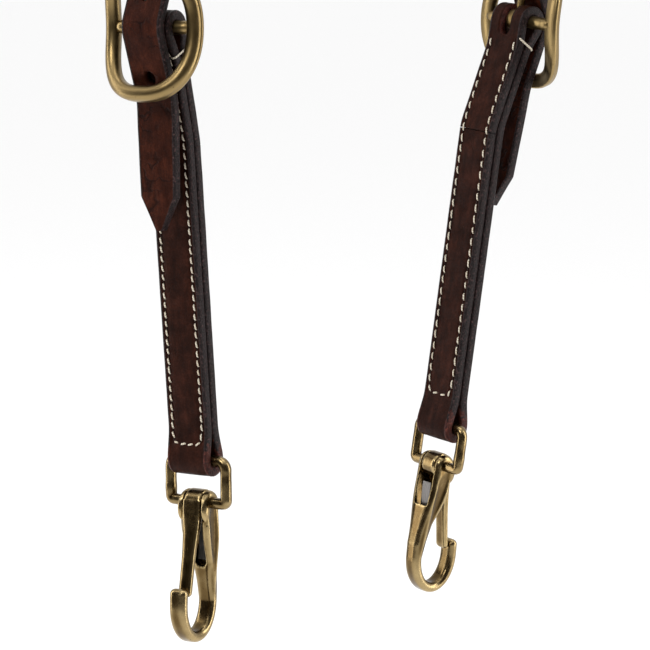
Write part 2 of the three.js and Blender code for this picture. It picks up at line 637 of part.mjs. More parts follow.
// The chape wraps under the yoke, closes to a stitched neck above it, and folds round the ring.
function buildRing(crown) {
  const ringCentre = -(RING.radius - RING.wire);
  const eyeHeight = ringCentre - RING.radius;              // axis of the ring's lowest wire
  const window = { y: YOKE.width / 2 + 0.6, z: GAP / 2 + YOKE.ply + 0.4, low: GAP / 2 + YOKE.ply + 1.1 };
  const crownZ = crown.p.z - eyeHeight;                    // yoke's middle below the eye
  const { ply, neck, eye, width } = CHAPE;
  const neckHalf = ply + 0.05;
  const neckTop = -(eye + ply) + 0.6;
  const outerY = window.y + ply;
  const shape = new THREE.Shape();
  shape.moveTo(-outerY + 2, crownZ - window.low - ply);
  shape.lineTo(outerY - 2, crownZ - window.low - ply);
  shape.quadraticCurveTo(outerY, crownZ - window.low - ply, outerY, crownZ - window.low - ply + 2);
  shape.lineTo(outerY, crownZ + window.z - 1);
  shape.quadraticCurveTo(outerY, crownZ + window.z + ply, neckHalf + 2, crownZ + window.z + ply + 1);
  shape.quadraticCurveTo(neckHalf, crownZ + window.z + ply + 1.4, neckHalf, neckTop - neck + 4);
  shape.lineTo(neckHalf, neckTop);
  shape.absarc(0, 0, eye + ply, rad(-62), rad(242));
  shape.lineTo(-neckHalf, neckTop);
  shape.lineTo(-neckHalf, neckTop - neck + 4);
  const shoulderZ = crownZ + window.z + ply + 1;
  shape.quadraticCurveTo(-neckHalf, shoulderZ + 0.4, -neckHalf - 2, shoulderZ);
  shape.quadraticCurveTo(-outerY, crownZ + window.z + ply, -outerY, crownZ + window.z - 1);
  shape.lineTo(-outerY, crownZ - window.low - ply + 2);
  shape.quadraticCurveTo(-outerY, crownZ - window.low - ply, -outerY + 2, crownZ - window.low - ply);
  const eyeHole = new THREE.Path().absarc(0, 0, eye, 0, 2 * Math.PI);
  const yokeHole = new THREE.Path([v2(-window.y, crownZ - window.low), v2(window.y, crownZ - window.low),
    v2(window.y, crownZ + window.z), v2(-window.y, crownZ + window.z)]);
  shape.holes.push(eyeHole, yokeHole);

  const chape = new THREE.Group();
  chape.position.set(crown.p.x, crown.p.y, eyeHeight);
  chape.rotation.z = Math.atan2(crown.w.y, crown.w.x);     // its profile lies across the yoke
  martingale.add(chape);
  const body = profile(shape, width, 0.6);
  const rows = [1, -1].map((side) => {
    const z = (neckTop + crownZ + window.z + ply) / 2 + 0.6;
    const ends = [-1, 1].map((end) => v3(side * neckHalf, end * (width / 2 - 2), z));
    return threadRow(ends, ends.map(() => v3(side, 0, 0)));
  });
  place(chape, 'ring_chape', combine(body, { cut: rows.map((row) => row.groove) }), MATERIALS.havana);
  place(chape, 'ring_chape_front_stitching', rows[1].thread, MATERIALS.thread);
  place(chape, 'ring_chape_back_stitching', rows[0].thread, MATERIALS.thread);

  const ring = new THREE.TorusGeometry(RING.radius, RING.wire, 10, 36).rotateX(Math.PI / 2);
  ring.rotateZ(Math.PI / 2);
  const mesh = place(martingale, 'centre_ring', ring, MATERIALS.brass);
  mesh.position.set(crown.p.x, crown.p.y, ringCentre);
  mesh.rotation.z = chape.rotation.z;
}

// ---- the whole fork ---------------------------------------------------------------------------------------

const leftLeg = buildLeg('left', LEG_POSES.left);
const rightLeg = buildLeg('right', LEG_POSES.right);
buildRing(buildYoke(leftLeg, rightLeg));

export default martingale;
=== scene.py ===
"""The looks of the martingale fork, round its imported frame.

Pieces are drawn in millimetres in a local frame and set down in the row frame in metres. A leg's local
frame has x to its front, y across the strap and z up, with the bottom fold of its strap at z = 0.
"""

import bpy
import bmesh
import json
import math
import numpy
import random
from mathutils import Matrix, Vector, noise
from mathutils.bvhtree import BVHTree
from mathutils.interpolate import poly_3d_calc


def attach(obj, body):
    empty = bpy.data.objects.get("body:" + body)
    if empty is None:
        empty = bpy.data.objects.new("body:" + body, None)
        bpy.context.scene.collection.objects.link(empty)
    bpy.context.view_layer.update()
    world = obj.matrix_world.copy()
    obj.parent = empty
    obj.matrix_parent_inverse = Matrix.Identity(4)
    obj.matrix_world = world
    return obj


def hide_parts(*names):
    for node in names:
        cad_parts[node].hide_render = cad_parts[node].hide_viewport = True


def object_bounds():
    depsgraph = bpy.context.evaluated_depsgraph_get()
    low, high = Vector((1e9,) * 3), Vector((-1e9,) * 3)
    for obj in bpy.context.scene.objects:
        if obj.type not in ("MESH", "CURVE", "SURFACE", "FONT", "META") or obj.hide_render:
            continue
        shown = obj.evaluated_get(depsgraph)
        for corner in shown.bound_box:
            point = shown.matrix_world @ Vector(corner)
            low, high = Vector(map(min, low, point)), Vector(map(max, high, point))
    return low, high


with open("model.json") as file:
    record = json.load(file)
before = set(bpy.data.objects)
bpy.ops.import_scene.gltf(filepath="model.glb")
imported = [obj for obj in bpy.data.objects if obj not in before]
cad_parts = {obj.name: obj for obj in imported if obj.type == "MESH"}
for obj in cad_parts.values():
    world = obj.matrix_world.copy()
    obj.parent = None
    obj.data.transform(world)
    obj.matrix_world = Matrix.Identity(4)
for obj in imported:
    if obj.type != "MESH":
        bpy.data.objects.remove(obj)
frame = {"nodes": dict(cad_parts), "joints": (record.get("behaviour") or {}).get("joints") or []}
CAD_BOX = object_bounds()
JOINTS = {joint["name"]: joint for joint in frame["joints"]}
SIDES = ("left", "right")
MM = 0.001

# ---- driving sizes, millimetres

STRAP_WIDTH = 18
PLY = 3.8
PLY_OFFSET = 2.05               # middle of each ply from the middle of the doubled strap
ROW = 6.65                      # stitch rows from the middle of the strap
ROW_END = {"left": 12.4, "right": 18.3}
STITCH_PITCH = {"left": 3.5, "right": 4.4}
BAR_AT = {"left": (6.4, 169.2), "right": (11.4, 169.7)}    # in front of the strap, above its bottom fold
BAR_RADIUS = 2.5
BEND_Z = 127.2                  # above this the strap leans out to the bar
JOINT_Z = 125                   # where the folded strip's two ends meet on the back
TOP_FOLD, BOTTOM_FOLD = 11, 11  # how far from its pin each fold opens
ROW_TOP = 6.8                   # the rows start this far below the bar
TIE_DROP = 8                    # the long thread round each edge lies this far below the bar
RAW_BELOW = 12                  # the cut edges are unwaxed below this
LOOP_Z, LOOP_WIRE, LOOP_HALF, LOOP_HEIGHT = 6.25, 2.1, 12.6, 16
LOOP_SHIFT = {"left": 1.2, "right": 0}
TAIL_X, KNEE_X = {"left": 11.8, "right": 10.8}, {"left": 9, "right": 14}
BILLET_WIDTH, TAIL_LENGTH, KNEE_DROP, TAIL_POINT = 17, 74, 26, 12.5
SHOULDER_X, SHOULDER_RISE, NOSE_RADIUS = -2.4, 24, 8.85
BILLET_X, BILLET_STRAIGHT, BILLET_TOP = 1.8, 222, 262
FIRST_HOLE, HOLE_PITCH, HOLE_RADIUS = 56, 34, 2.5
FRAME_HALF_WIDTH, FRAME_HALF_HEIGHT, FRAME_WIRE = 18.2, 23, 6.3
FRAME_BOW, FRAME_TILT, FRAME_ROUNDNESS = 8, 0.1, 2.7
FRAME_SHIFT = {"left": -1.6, "right": -1.4}
HOOK_BOSS, HOOK_DEPTH, HOOK_REACH, HOOK_STRIP = 4.9, 53, 23, 4.2
HOOK_WIDTH, HOOK_NECK, HOOK_SLOT = 13, 7.2, 8.4
GATE_LENGTH, GATE_WIDTH, GATE_END, GATE_FAR_X = 35.5, 7.8, 5.4, 8.2
YOKE_PLY, YOKE_WIDTH, YOKE_LAP, YOKE_CROWN = 3.2, 20, 228, -66
CHAPE_PLY, CHAPE_WIDTH, NECK_TOP = 2.8, 14, -8.4    # the neck ends there, below the eye
RING_RADIUS, RING_WIRE = 20.5, 2.5
CUT_EDGE = 1.15                 # how far a strip's rounded cut edge reaches in
EDGE_WANDER = 0.1 / 9           # how far a cut edge wanders, as a share of the width
THREAD_RADIUS, STITCH_SHARE, STITCH_SLANT = 0.36, 0.68, 0.26    # share of the pitch, and lean to a side
AWL_LENGTH, AWL_WIDTH = 1.25, 0.4


# ---- small geometry

def v3(x, y, z):
    return Vector((x, y, z))


def lerp(a, b, t):
    return a + (b - a) * t


def smooth(low, high, value):
    t = min(1, max(0, (value - low) / (high - low)))
    return t * t * (3 - 2 * t)


def squared_off(value, power):
    """A power of a number from -1 to 1 that keeps its sign: below 1 it makes a round fuller."""
    return math.copysign(abs(value) ** power, value)


def arc(centre, radius, start, span, steps):
    """Points of an arc in the XZ plane, angles in radians from +x towards +z."""
    return [centre + radius * v3(math.cos(start + span * i / steps), 0, math.sin(start + span * i / steps))
            for i in range(steps + 1)]


def bezier(a, b, c, d, steps):
    """Points of a cubic curve."""
    out = []
    for i in range(steps + 1):
        t = i / steps
        u = 1 - t
        out.append(u**3 * a + 3 * u * u * t * b + 3 * u * t * t * c + t**3 * d)
    return out


def resample(points, step, closed=False):
    """The same line with points evenly about one step apart."""
    run = points + points[:1] if closed else points
    lengths = distances(run)
    count = max(2, round(lengths[-1] / step))
    out, j = [], 0
    for i in range(count if closed else count + 1):
        at = lengths[-1] * i / count
        while j < len(run) - 2 and lengths[j + 1] < at:
            j += 1
        gap = lengths[j + 1] - lengths[j]
        out.append(run[j].lerp(run[j + 1], (at - lengths[j]) / gap if gap else 0))
    return out


def relax(points, rounds):
    """Softens the corners of an open line and keeps its ends."""
    for _ in range(rounds):
        inner = [(a + 2 * b + c) / 4 for a, b, c in zip(points, points[1:], points[2:])]
        points = [points[0], *inner, points[-1]]
    return points


def tangents(points, closed=False):
    out = []
    last = len(points) - 1
    for i, p in enumerate(points):
        before = points[i - 1] if closed or i else p
        after = points[(i + 1) % len(points)] if closed or i < last else p
        out.append((after - before).normalized())
    return out


def distances(points):
    out = [0.0]
    for a, b in zip(points, points[1:]):
        out.append(out[-1] + (b - a).length)
    return out


# ---- mesh building

def linked(name, data):
    """An object of some data, put in the scene."""
    obj = bpy.data.objects.new(name, data)
    bpy.context.scene.collection.objects.link(obj)
    return obj


def make_object(name, verts, faces, materials, slots=None, run=None):
    """A smooth mesh object. run is each point's place on its strip: along, across, through, in metres."""
    mesh = bpy.data.meshes.new(name)
    mesh.from_pydata(verts, [], faces)
    for material in materials:
        mesh.materials.append(material)
    if slots:
        mesh.polygons.foreach_set("material_index", slots)
    mesh.polygons.foreach_set("use_smooth", [True] * len(faces))
    if run:
        attribute = mesh.attributes.new("run", "FLOAT_VECTOR", "POINT")
        attribute.data.foreach_set("vector", [x * MM for r in run for x in r])
    mesh.update()
    return linked(name, mesh)


def walls(count, rows, closed=False):
    """The faces round a stack of rows with count points each, with an end cap on an open stack."""
    faces = []
    for i in range(rows if closed else rows - 1):
        here, after = i * count, (i + 1) % rows * count
        for j in range(count):
            k = (j + 1) % count
            faces.append((here + j, here + k, after + k, after + j))
    if not closed:
        faces.append(tuple(range(count - 1, -1, -1)))
        faces.append(tuple(range((rows - 1) * count, rows * count)))
    return faces


def sweep(points, normals, sections, closed=False):
    """Carries outlines along a line. Returns points, faces, and each point's place on the strip.

    An outline is a list of (out, across) pairs: out follows the normal, and across the third direction.
    """
    ways = tangents(points, closed)
    along = distances(points)
    verts, run = [], []
    for p, n, t, section, s in zip(points, normals, ways, sections, along):
        out = (n - t * n.dot(t)).normalized()
        across = t.cross(out)
        for x, y in section:
            verts.append(p + out * x + across * y)
            run.append((s, y, x))
    return verts, walls(len(sections[0]), len(points), closed), run


def swept(name, points, normals, sections, materials, matrix, slots=None, closed=False):
    """An object of outlines carried along a line. One outline, or one normal, serves the whole line."""
    if isinstance(normals, Vector):
        normals = [normals] * len(points)
    if isinstance(sections[0], tuple):
        sections = [sections] * len(points)
    verts, faces, run = sweep(points, normals, sections, closed)
    return make_object(name, placed(verts, matrix), faces, materials, slots, run)


def disc(radius_x, radius_y, sides):
    return [(radius_x * math.cos(2 * math.pi * i / sides), radius_y * math.sin(2 * math.pi * i / sides))
            for i in range(sides)]


def placed(verts, matrix):
    scaled = matrix @ Matrix.Scale(MM, 4)
    return [scaled @ v for v in verts]


def finished(obj, modifiers):
    """Applies modifiers, given as (type, settings), one after the other."""
    for kind, settings in modifiers:
        modifier = obj.modifiers.new(kind, kind)
        for key, value in settings.items():
            setattr(modifier, key, value)
    graph = bpy.context.evaluated_depsgraph_get()
    mesh = bpy.data.meshes.new_from_object(obj.evaluated_get(graph), preserve_all_data_layers=True,
                                           depsgraph=graph)
    obj.modifiers.clear()
    obj.data = mesh
    return obj


def cut(obj, cutters):
    """Cuts closed pieces out of a piece, and removes them. Each point's place on the strip is kept."""
    whole = obj.data
    for cutter in cutters:
        finished(obj, [("BOOLEAN", {"object": cutter, "operation": "DIFFERENCE", "solver": "EXACT"})])
        bpy.data.objects.remove(cutter)
    if "run" not in whole.attributes:
        return obj
    corners = [v.co for v in whole.vertices]
    faces = [tuple(face.vertices) for face in whole.polygons]
    tree = BVHTree.FromPolygons(corners, faces)
    known = [entry.vector.copy() for entry in whole.attributes["run"].data]
    places = []
    for v in obj.data.vertices:
        at, _, face, _ = tree.find_nearest(v.co)
        shares = poly_3d_calc([corners[i] for i in faces[face]], at)
        places.extend(sum((known[i] * share for i, share in zip(faces[face], shares)), Vector()))
    obj.data.attributes["run"].data.foreach_set("vector", places)
    return obj


def facing_out(obj):
    """Turns every face of a closed piece outwards."""
    bm = bmesh.new()
    bm.from_mesh(obj.data)
    bmesh.ops.recalc_face_normals(bm, faces=bm.faces)
    bm.to_mesh(obj.data)
    bm.free()
    return obj


def only_material(obj, material):
    obj.data.materials.clear()
    obj.data.materials.append(material)


def prism(name, outline, width, matrix, material):
    """An outline in the XZ plane, given as (x, z) pairs, extruded across y and centred on it."""
    count = len(outline)
    verts = [v3(x, side * width / 2, z) for side in (-1, 1) for x, z in outline]
    faces = [tuple(range(count)), tuple(range(2 * count - 1, count - 1, -1))]
    faces += [(i, i + count, (i + 1) % count + count, (i + 1) % count) for i in range(count)]
    return facing_out(make_object(name, placed(verts, matrix), faces, [material]))


def joined(name, objects):
    """Several objects as one mesh."""
    bm = bmesh.new()
    materials = []
    for obj in objects:
        first = len(bm.faces)
        bm.from_mesh(obj.data)
        bm.faces.ensure_lookup_table()
        for material in obj.data.materials:
            if material not in materials:
                materials.append(material)
        for face in bm.faces[first:]:
            face.material_index = materials.index(obj.data.materials[face.material_index])
    mesh = bpy.data.meshes.new(name)
    bm.to_mesh(mesh)
    bm.free()
    for material in materials:
        mesh.materials.append(material)
    for obj in objects:
        bpy.data.objects.remove(obj)
    return linked(name, mesh)


def stand_for(obj, body, slot, *nodes):
    """Puts a finished piece on its body, in place of its CAD nodes."""
    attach(obj, body)
    if nodes:
        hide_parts(*nodes)
    return obj


# ---- where things are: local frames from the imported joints

def basis(origin, x, y, z):
    matrix = Matrix((x, y, z)).transposed().to_4x4()
    matrix.translation = origin
    return matrix


def pivot(side, joint):
    return Vector(JOINTS[f"{side}_{joint}"]["pos_m"])


def bar_axis(side):
    """The way of the buckle's bar; the pins of the loop and the hook are parallel to it."""
    return Vector(JOINTS[f"{side}_tongue_lift"]["axis"]).normalized()


def leg_frame(side):
    """The leg's frame, from the bar and loop pivots; the loop hangs a known shift from its XZ plane."""
    y = bar_axis(side)
    loop = pivot(side, "loop_swing") - y * LOOP_SHIFT[side] * MM
    rise = (pivot(side, "tongue_lift") - loop).normalized()
    bar_x, bar_z = BAR_AT[side]
    tilt = math.atan2(bar_x, bar_z - LOOP_Z)
    flat = y.cross(rise)
    x = flat * math.cos(tilt) + rise * math.sin(tilt)
    z = x.cross(y)
    return basis(loop - z * LOOP_Z * MM, x, y, z)


def loop_frame(side):
    """The loop's frame: origin at the strap's fold, z up the line to it from the hook's pivot."""
    y, upper = bar_axis(side), pivot(side, "loop_swing")
    z = (upper - pivot(side, "hook_swing")).normalized()
    return basis(upper, y.cross(z), y, z)


def hook_frame(side):
    """The hook's frame: the gate's corner farthest from the pivot gives its angle."""
    y, pin = bar_axis(side), pivot(side, "hook_swing")
    node = frame["nodes"][f"{side}_snap_gate"]
    reach = max((v.co - pin for v in node.data.vertices), key=lambda way: way.length)
    reach -= y * reach.dot(y)
    angle = math.atan2(GATE_FAR_X, GATE_LENGTH)              # that corner from the frame's -z
    z = Matrix.Rotation(angle, 3, y) @ -reach.normalized()
    return basis(pin, y.cross(z), y, z)


LEG = {side: leg_frame(side) for side in SIDES}
LOOP = {side: loop_frame(side) for side in SIDES}
HOOK = {side: hook_frame(side) for side in SIDES}
BAR = {side: v3(BAR_AT[side][0], 0, BAR_AT[side][1]) for side in SIDES}
BUCKLE = {side: LEG[side] @ Matrix.Translation(BAR[side] * MM) for side in SIDES}
LEAN = {side: math.atan2(BAR[side].x, BAR[side].z - BEND_Z) for side in SIDES}
OUTWARD = {side: v3(math.cos(LEAN[side]), 0, -math.sin(LEAN[side])) for side in SIDES}
DOWNWARD = {side: v3(-math.sin(LEAN[side]), 0, -math.cos(LEAN[side])) for side in SIDES}


# ---- materials

class Shader:
    """A Principled material and short ways to feed it."""

    def __init__(self, name, **values):
        self.material = bpy.data.materials.new(name)
        self.material.use_nodes = True
        self.tree = self.material.node_tree
        self.surface = self.tree.nodes["Principled BSDF"]
        for key, value in values.items():
            self.surface.inputs[key.replace("_", " ")].default_value = value

    def node(self, kind, **settings):
        made = self.tree.nodes.new(kind)
        for key, value in settings.items():
            setattr(made, key, value)
        return made

    def put(self, value, socket):
        """Feeds a socket with another node's output, a number or a colour."""
        if isinstance(value, bpy.types.NodeSocket):
            self.tree.links.new(value, socket)
        elif isinstance(value, (int, float)):
            socket.default_value = value
        else:
            socket.default_value = (*value, 1)

    def texture(self, kind, vector, output, inputs, **settings):
        """A node that reads a vector, with numbers in its other inputs."""
        made = self.node(kind, **settings)
        for key, value in inputs.items():
            made.inputs[key].default_value = value
        self.put(vector, made.inputs["Vector"])
        return made.outputs[output]

    def run(self):
        """Each point's place on its strip, in metres."""
        return self.node("ShaderNodeAttribute", attribute_name="run").outputs["Vector"]

    def place(self):
        return self.node("ShaderNodeTexCoord").outputs["Object"]

    def scaled(self, vector, scale):
        return self.texture("ShaderNodeMapping", vector, "Vector", {"Scale": scale})

    def noise(self, vector, scale, detail=4, roughness=0.6):
        inputs = {"Scale": scale, "Detail": detail, "Roughness": roughness}
        return self.texture("ShaderNodeTexNoise", vector, "Fac", inputs)

    def cells(self, vector, scale):
        """How far each point is from the edge of its cell."""
        return self.texture("ShaderNodeTexVoronoi", vector, "Distance", {"Scale": scale},
                            feature="DISTANCE_TO_EDGE")

    def ramp(self, value, stops):
        """A colour ramp. stops are (position, colour or grey level)."""
        made = self.node("ShaderNodeValToRGB")
        elements = made.color_ramp.elements
        while len(elements) < len(stops):
            elements.new(0.5)
        for element, (position, colour) in zip(elements, stops):
            element.position = position
            grey = isinstance(colour, (int, float))
            element.color = (colour, colour, colour, 1) if grey else (*colour, 1)
        self.put(value, made.inputs["Fac"])
        return made.outputs["Color"]

    def mix(self, share, a, b):
        made = self.node("ShaderNodeMix", data_type="RGBA")
        for value, index in ((share, 0), (a, 6), (b, 7)):
            self.put(value, made.inputs[index])
        return made.outputs[2]

    def maths(self, operation, a, b):
        made = self.node("ShaderNodeMath", operation=operation)
        self.put(a, made.inputs[0])
        self.put(b, made.inputs[1])
        return made.outputs[0]

    def bump(self, height, distance, strength=1.0, normal=None):
        made = self.node("ShaderNodeBump")
        for value, key in ((distance, "Distance"), (strength, "Strength"), (height, "Height"),
                           (normal, "Normal")):
            if value is not None:
                self.put(value, made.inputs[key])
        return made.outputs["Normal"]

    def feed(self, colour=None, roughness=None, normal=None):
        for value, key in ((colour, "Base Color"), (roughness, "Roughness"), (normal, "Normal")):
            if value is not None:
                self.put(value, self.surface.inputs[key])
        return self.material


def grain_leather(name, dark, middle, light, crease):
    """The finished face of bridle leather: mottled dye, pores and fine creases across the strip, with painted
    shade darkening the creases.
    """
    s = Shader(name, Specular_IOR_Level=0.035)
    run = s.run()
    mottle = s.noise(run, 140, 6, 0.68)
    streak = s.noise(s.scaled(run, (90, 420, 60)), 1, 4, 0.6)
    cloud = s.mix(0.4, mottle, streak)
    speck = s.noise(run, 1500, 3, 0.7)
    colour = s.ramp(s.mix(0.22, cloud, speck), [(0.38, dark), (0.5, middle), (0.61, light)])
    wander = s.texture("ShaderNodeTexNoise", run, "Color", {"Scale": 160})
    bent = s.mix(0.012, run, wander)
    lines = s.cells(s.scaled(bent, (230, 42, 60)), 1)
    thin = s.ramp(lines, [(0.0, 1.0), (0.035, 0.6), (0.075, 0.0)])
    patch = s.ramp(s.noise(run, 75, 2, 0.5), [(0.46, 0.0), (0.58, 1.0)])
    creases = s.maths("MULTIPLY", thin, patch)
    share = s.maths("MULTIPLY", creases, crease)
    # the crease lines are darkened in colour: painted shade in the creases
    colour = s.mix(share, colour, [c * 0.4 for c in dark])
    pores = s.cells(run, 1500)
    pore_depth = s.ramp(pores, [(0.0, 0.0), (0.25, 1.0)])
    fine = s.noise(run, 2600, 3, 0.6)
    normal = s.bump(pore_depth, 0.00006, 0.6)
    normal = s.bump(fine, 0.00005, 0.6, normal)
    normal = s.bump(mottle, 0.0004, 0.4, normal)
    normal = s.bump(creases, -0.0002, crease, normal)
    roughness = s.ramp(s.noise(run, 170, 5, 0.65), [(0.35, 0.34), (0.65, 0.56)])
    return s.feed(colour, roughness, normal)


def cut_leather(name, dark, light, fibre):
    """A cut edge, waxed and rubbed: dark, glossy, drawn along the strip, with pale specks that are raw fibre
    and a painted speckled highlight.
    """
    s = Shader(name, Specular_IOR_Level=0.12, Coat_Weight=0.02, Coat_Roughness=0.25)
    run = s.run()
    drawn = s.noise(s.scaled(run, (420, 1300, 1300)), 1, 5, 0.65)
    speck = s.noise(run, 1000, 4, 0.7)
    colour = s.ramp(drawn, [(0.36, dark), (0.64, light)])
    # the pale specks are raw fibre and also a painted speckled highlight
    colour = s.mix(s.ramp(speck, [(0.55, 0.0), (0.64, 0.9)]), colour, fibre)
    normal = s.bump(speck, 0.0009, 1.0)
    normal = s.bump(drawn, 0.0003, 0.7, normal)
    roughness = s.ramp(speck, [(0.35, 0.24), (0.65, 0.5)])
    return s.feed(colour, roughness, normal)


def sewing_thread():
    """Waxed linen thread, laid up of twisted strands."""
    s = Shader("waxed_thread", Specular_IOR_Level=0.35, Sheen_Weight=0.15)
    strands = s.texture("ShaderNodeTexWave", s.run(), "Fac", {"Scale": 620, "Distortion": 0.6},
                        wave_type="BANDS", bands_direction="DIAGONAL")
    colour = s.ramp(strands, [(0.0, (0.28, 0.23, 0.16)), (0.45, (0.46, 0.4, 0.31)),
                              (1.0, (0.6, 0.55, 0.45))])
    grime = s.noise(s.place(), 210, 3, 0.6)
    colour = s.mix(s.ramp(grime, [(0.5, 0.0), (0.75, 0.5)]), colour, (0.36, 0.27, 0.17))
    roughness = s.ramp(grime, [(0.3, 0.5), (0.7, 0.72)])
    return s.feed(colour, roughness, s.bump(strands, 0.00012, 0.8))


def antique_brass(name, shade, body, bright, roughness_low, roughness_high):
    """Satin cast brass: dull in hollows with tarnish and painted shade, rubbed pale on crests along with a
    painted highlight, with a few casting pits.
    """
    s = Shader(name, Metallic=1.0)
    place = s.place()
    tarnish = s.noise(place, 130, 4, 0.55)
    fine = s.noise(place, 700, 3, 0.55)
    crest = s.node("ShaderNodeAttribute", attribute_name="crest").outputs["Fac"]
    # crest ramp: rubbed metal on crests, and painted light as well, a painted highlight on crests and painted
    # shade in hollows
    rubbing_and_painted_light = s.ramp(crest, [(0.25, 0.15), (0.6, 0.5), (0.92, 1.0)])
    tarnish_rubbing_and_painted_light = s.mix(0.35, rubbing_and_painted_light, tarnish)
    colour = s.ramp(tarnish_rubbing_and_painted_light, [(0.25, shade), (0.45, body), (0.72, bright)])
    pit_field = s.noise(place, 900, 2, 0.5)
    pits = s.ramp(pit_field, [(0.25, 1.0), (0.3, 0.0)])
    colour = s.mix(pits, colour, [c * 0.5 for c in shade])
    roughness = s.ramp(s.mix(0.2, tarnish, fine), [(0.38, roughness_low), (0.62, roughness_high)])
    normal = s.bump(tarnish, 0.00008, 0.25)
    normal = s.bump(fine, 0.000012, 0.25, normal)
    normal = s.bump(pits, -0.0001, 0.5, normal)
    return s.feed(colour, roughness, normal)


def grey_steel():
    """Spring steel with rolling lines along its length."""
    s = Shader("grey_spring_steel", Metallic=1.0)
    lines = s.noise(s.scaled(s.place(), (2600, 2600, 90)), 1, 4, 0.6)
    colour = s.ramp(lines, [(0.3, (0.06, 0.056, 0.054)), (0.7, (0.17, 0.16, 0.152))])
    roughness = s.ramp(lines, [(0.3, 0.3), (0.7, 0.48)])
    return s.feed(colour, roughness, s.bump(lines, 0.00003, 0.5))


def plain_backdrop():
    s = Shader("pale_paper", Specular_IOR_Level=0.1)
    fibre = s.noise(s.place(), 400, 3, 0.6)
    colour = s.ramp(fibre, [(0.3, 0.94), (0.7, 0.97)])
    s.surface.inputs["Roughness"].default_value = 0.9
    return s.feed(colour)


HAVANA = grain_leather("havana_grain", (0.0075, 0.0021, 0.0011), (0.0155, 0.0042, 0.0021),
                       (0.03, 0.0086, 0.0048), 0.3)
CHESTNUT = grain_leather("chestnut_grain", (0.0105, 0.0026, 0.0013), (0.0225, 0.0053, 0.0024),
                         (0.043, 0.0105, 0.0048), 0.8)
EDGE = cut_leather("burnished_edge", (0.0034, 0.0014, 0.0014), (0.0105, 0.0044, 0.0043), (0.062, 0.031, 0.03))
RAW_EDGE = cut_leather("raw_red_edge", (0.017, 0.004, 0.003), (0.055, 0.0125, 0.008), (0.13, 0.034, 0.023))
# the awl marks' dark colour is painted shade in the holes
AWL_DARK = cut_leather("awl_hole", (0.004, 0.002, 0.002), (0.01, 0.005, 0.005), (0.014, 0.007, 0.007))
THREAD = sewing_thread()
# brass colours: hollows with painted shade, body, crests with a painted highlight; then roughness
BRASS = antique_brass("satin_brass", (0.075, 0.047, 0.016), (0.11, 0.071, 0.026),
                      (0.215, 0.152, 0.066), 0.31, 0.41)
CAST_BRASS = antique_brass("cast_brass", (0.036, 0.022, 0.008), (0.088, 0.056, 0.021),
                           (0.3, 0.222, 0.108), 0.18, 0.29)
STEEL = grey_steel()


# ---- leather outlines

def ply_outline(thickness, width, groove=0.0, row=ROW):
    """Outline of a strap: a finished face (out > 0) with sunk stitch channels, and rounded cut edges."""
    h, half, crown = thickness / 2, width / 2, 0.12
    flat = half - CUT_EDGE
    channel = [(row - 0.95, 0.25), (row - 0.4, 1), (row + 0.4, 1), (row + 0.9, 0.3)]
    ys = [0, 2.2, 4.4] + [y for y, _ in channel]
    depth = [0, 0, 0] + [groove * d for _, d in channel]
    face = [(h + crown * (1 - (y / half) ** 2) - crown - d, y) for y, d in zip(ys, depth)]
    side = []
    for i in range(11):
        angle = math.pi * i / 10
        c, sn = math.cos(angle), math.sin(angle)
        level = squared_off(c, 0.55) * h * (1 if c > 0 else 0.98)
        side.append((level, flat + CUT_EDGE * sn ** 0.62))
    back = [(-h, y) for y in (flat - 1.5, 4.4, 2.2)]
    right = face[1:] + side + back
    left = [(x, -y) for x, y in reversed(right)]
    return [face[0], *right, (-h, 0), *left]


def ply_slots(thickness, width, lines):
    """Material of each face of a swept ply: 0 on its faces, 1 on its cut edges and ends."""
    places = [abs(y) for _, y in ply_outline(thickness, width)]
    flat = width / 2 - CUT_EDGE - 1e-6
    ring = [int(min(pair) >= flat) for pair in zip(places, places[1:] + places[:1])]
    return ring * (lines - 1) + [1, 1]


def worn_widths(points, width, seed):
    """A slow wander of a strap's edges, so that no cut line is dead straight."""
    return [width * (1 + EDGE_WANDER * noise.noise(v3(seed, 0, s * 0.11))) for s in distances(points)]


def leather_strip(name, points, normals, widths, materials, matrix, groove=lambda p: 0.0):
    """A leg's leather ply carried along a line, in its leg's frame."""
    sections = []
    for p, width in zip(points, widths):
        outline = ply_outline(PLY, STRAP_WIDTH, groove(p))
        sections.append([(x, y * width / STRAP_WIDTH) for x, y in outline])
    return swept(name, points, normals, sections, materials, matrix, ply_slots(PLY, STRAP_WIDTH, len(points)))


# ---- stitches

def stitch(start, end, normal, rise):
    """One stitch: a short flattened thread that comes up out of one hole and goes down into the next."""
    steps = [(0, -0.55, 0.5), (0.06, -0.08, 0.78), (0.2, rise * 0.8, 0.98), (0.5, rise, 1.04),
             (0.8, rise * 0.8, 0.98), (0.94, -0.08, 0.78), (1, -0.55, 0.5)]    # share, height, swell
    line = [start.lerp(end, share) + normal * height for share, height, _ in steps]
    sections = [disc(THREAD_RADIUS * 0.72 * k, THREAD_RADIUS * k, 8) for _, _, k in steps]
    return sweep(line, [normal] * len(line), sections)


def awl_slit(at, along, normal):
    """A slanted awl mark: a thin lens that lies just over the leather, dark as painted shade in the hole."""
    across = normal.cross(along).normalized()
    way = (along * 0.82 + across * 0.57).normalized()
    side = normal.cross(way)
    rim = [at + way * x + side * y + normal * 0.02 for x, y in disc(AWL_LENGTH / 2, AWL_WIDTH / 2, 12)]
    verts = [at + normal * 0.07, *rim, at - normal * 0.3]
    faces = [(0, 1 + i, 1 + (i + 1) % 12) for i in range(12)]
    faces += [(13, 1 + (i + 1) % 12, 1 + i) for i in range(12)]
    return verts, faces


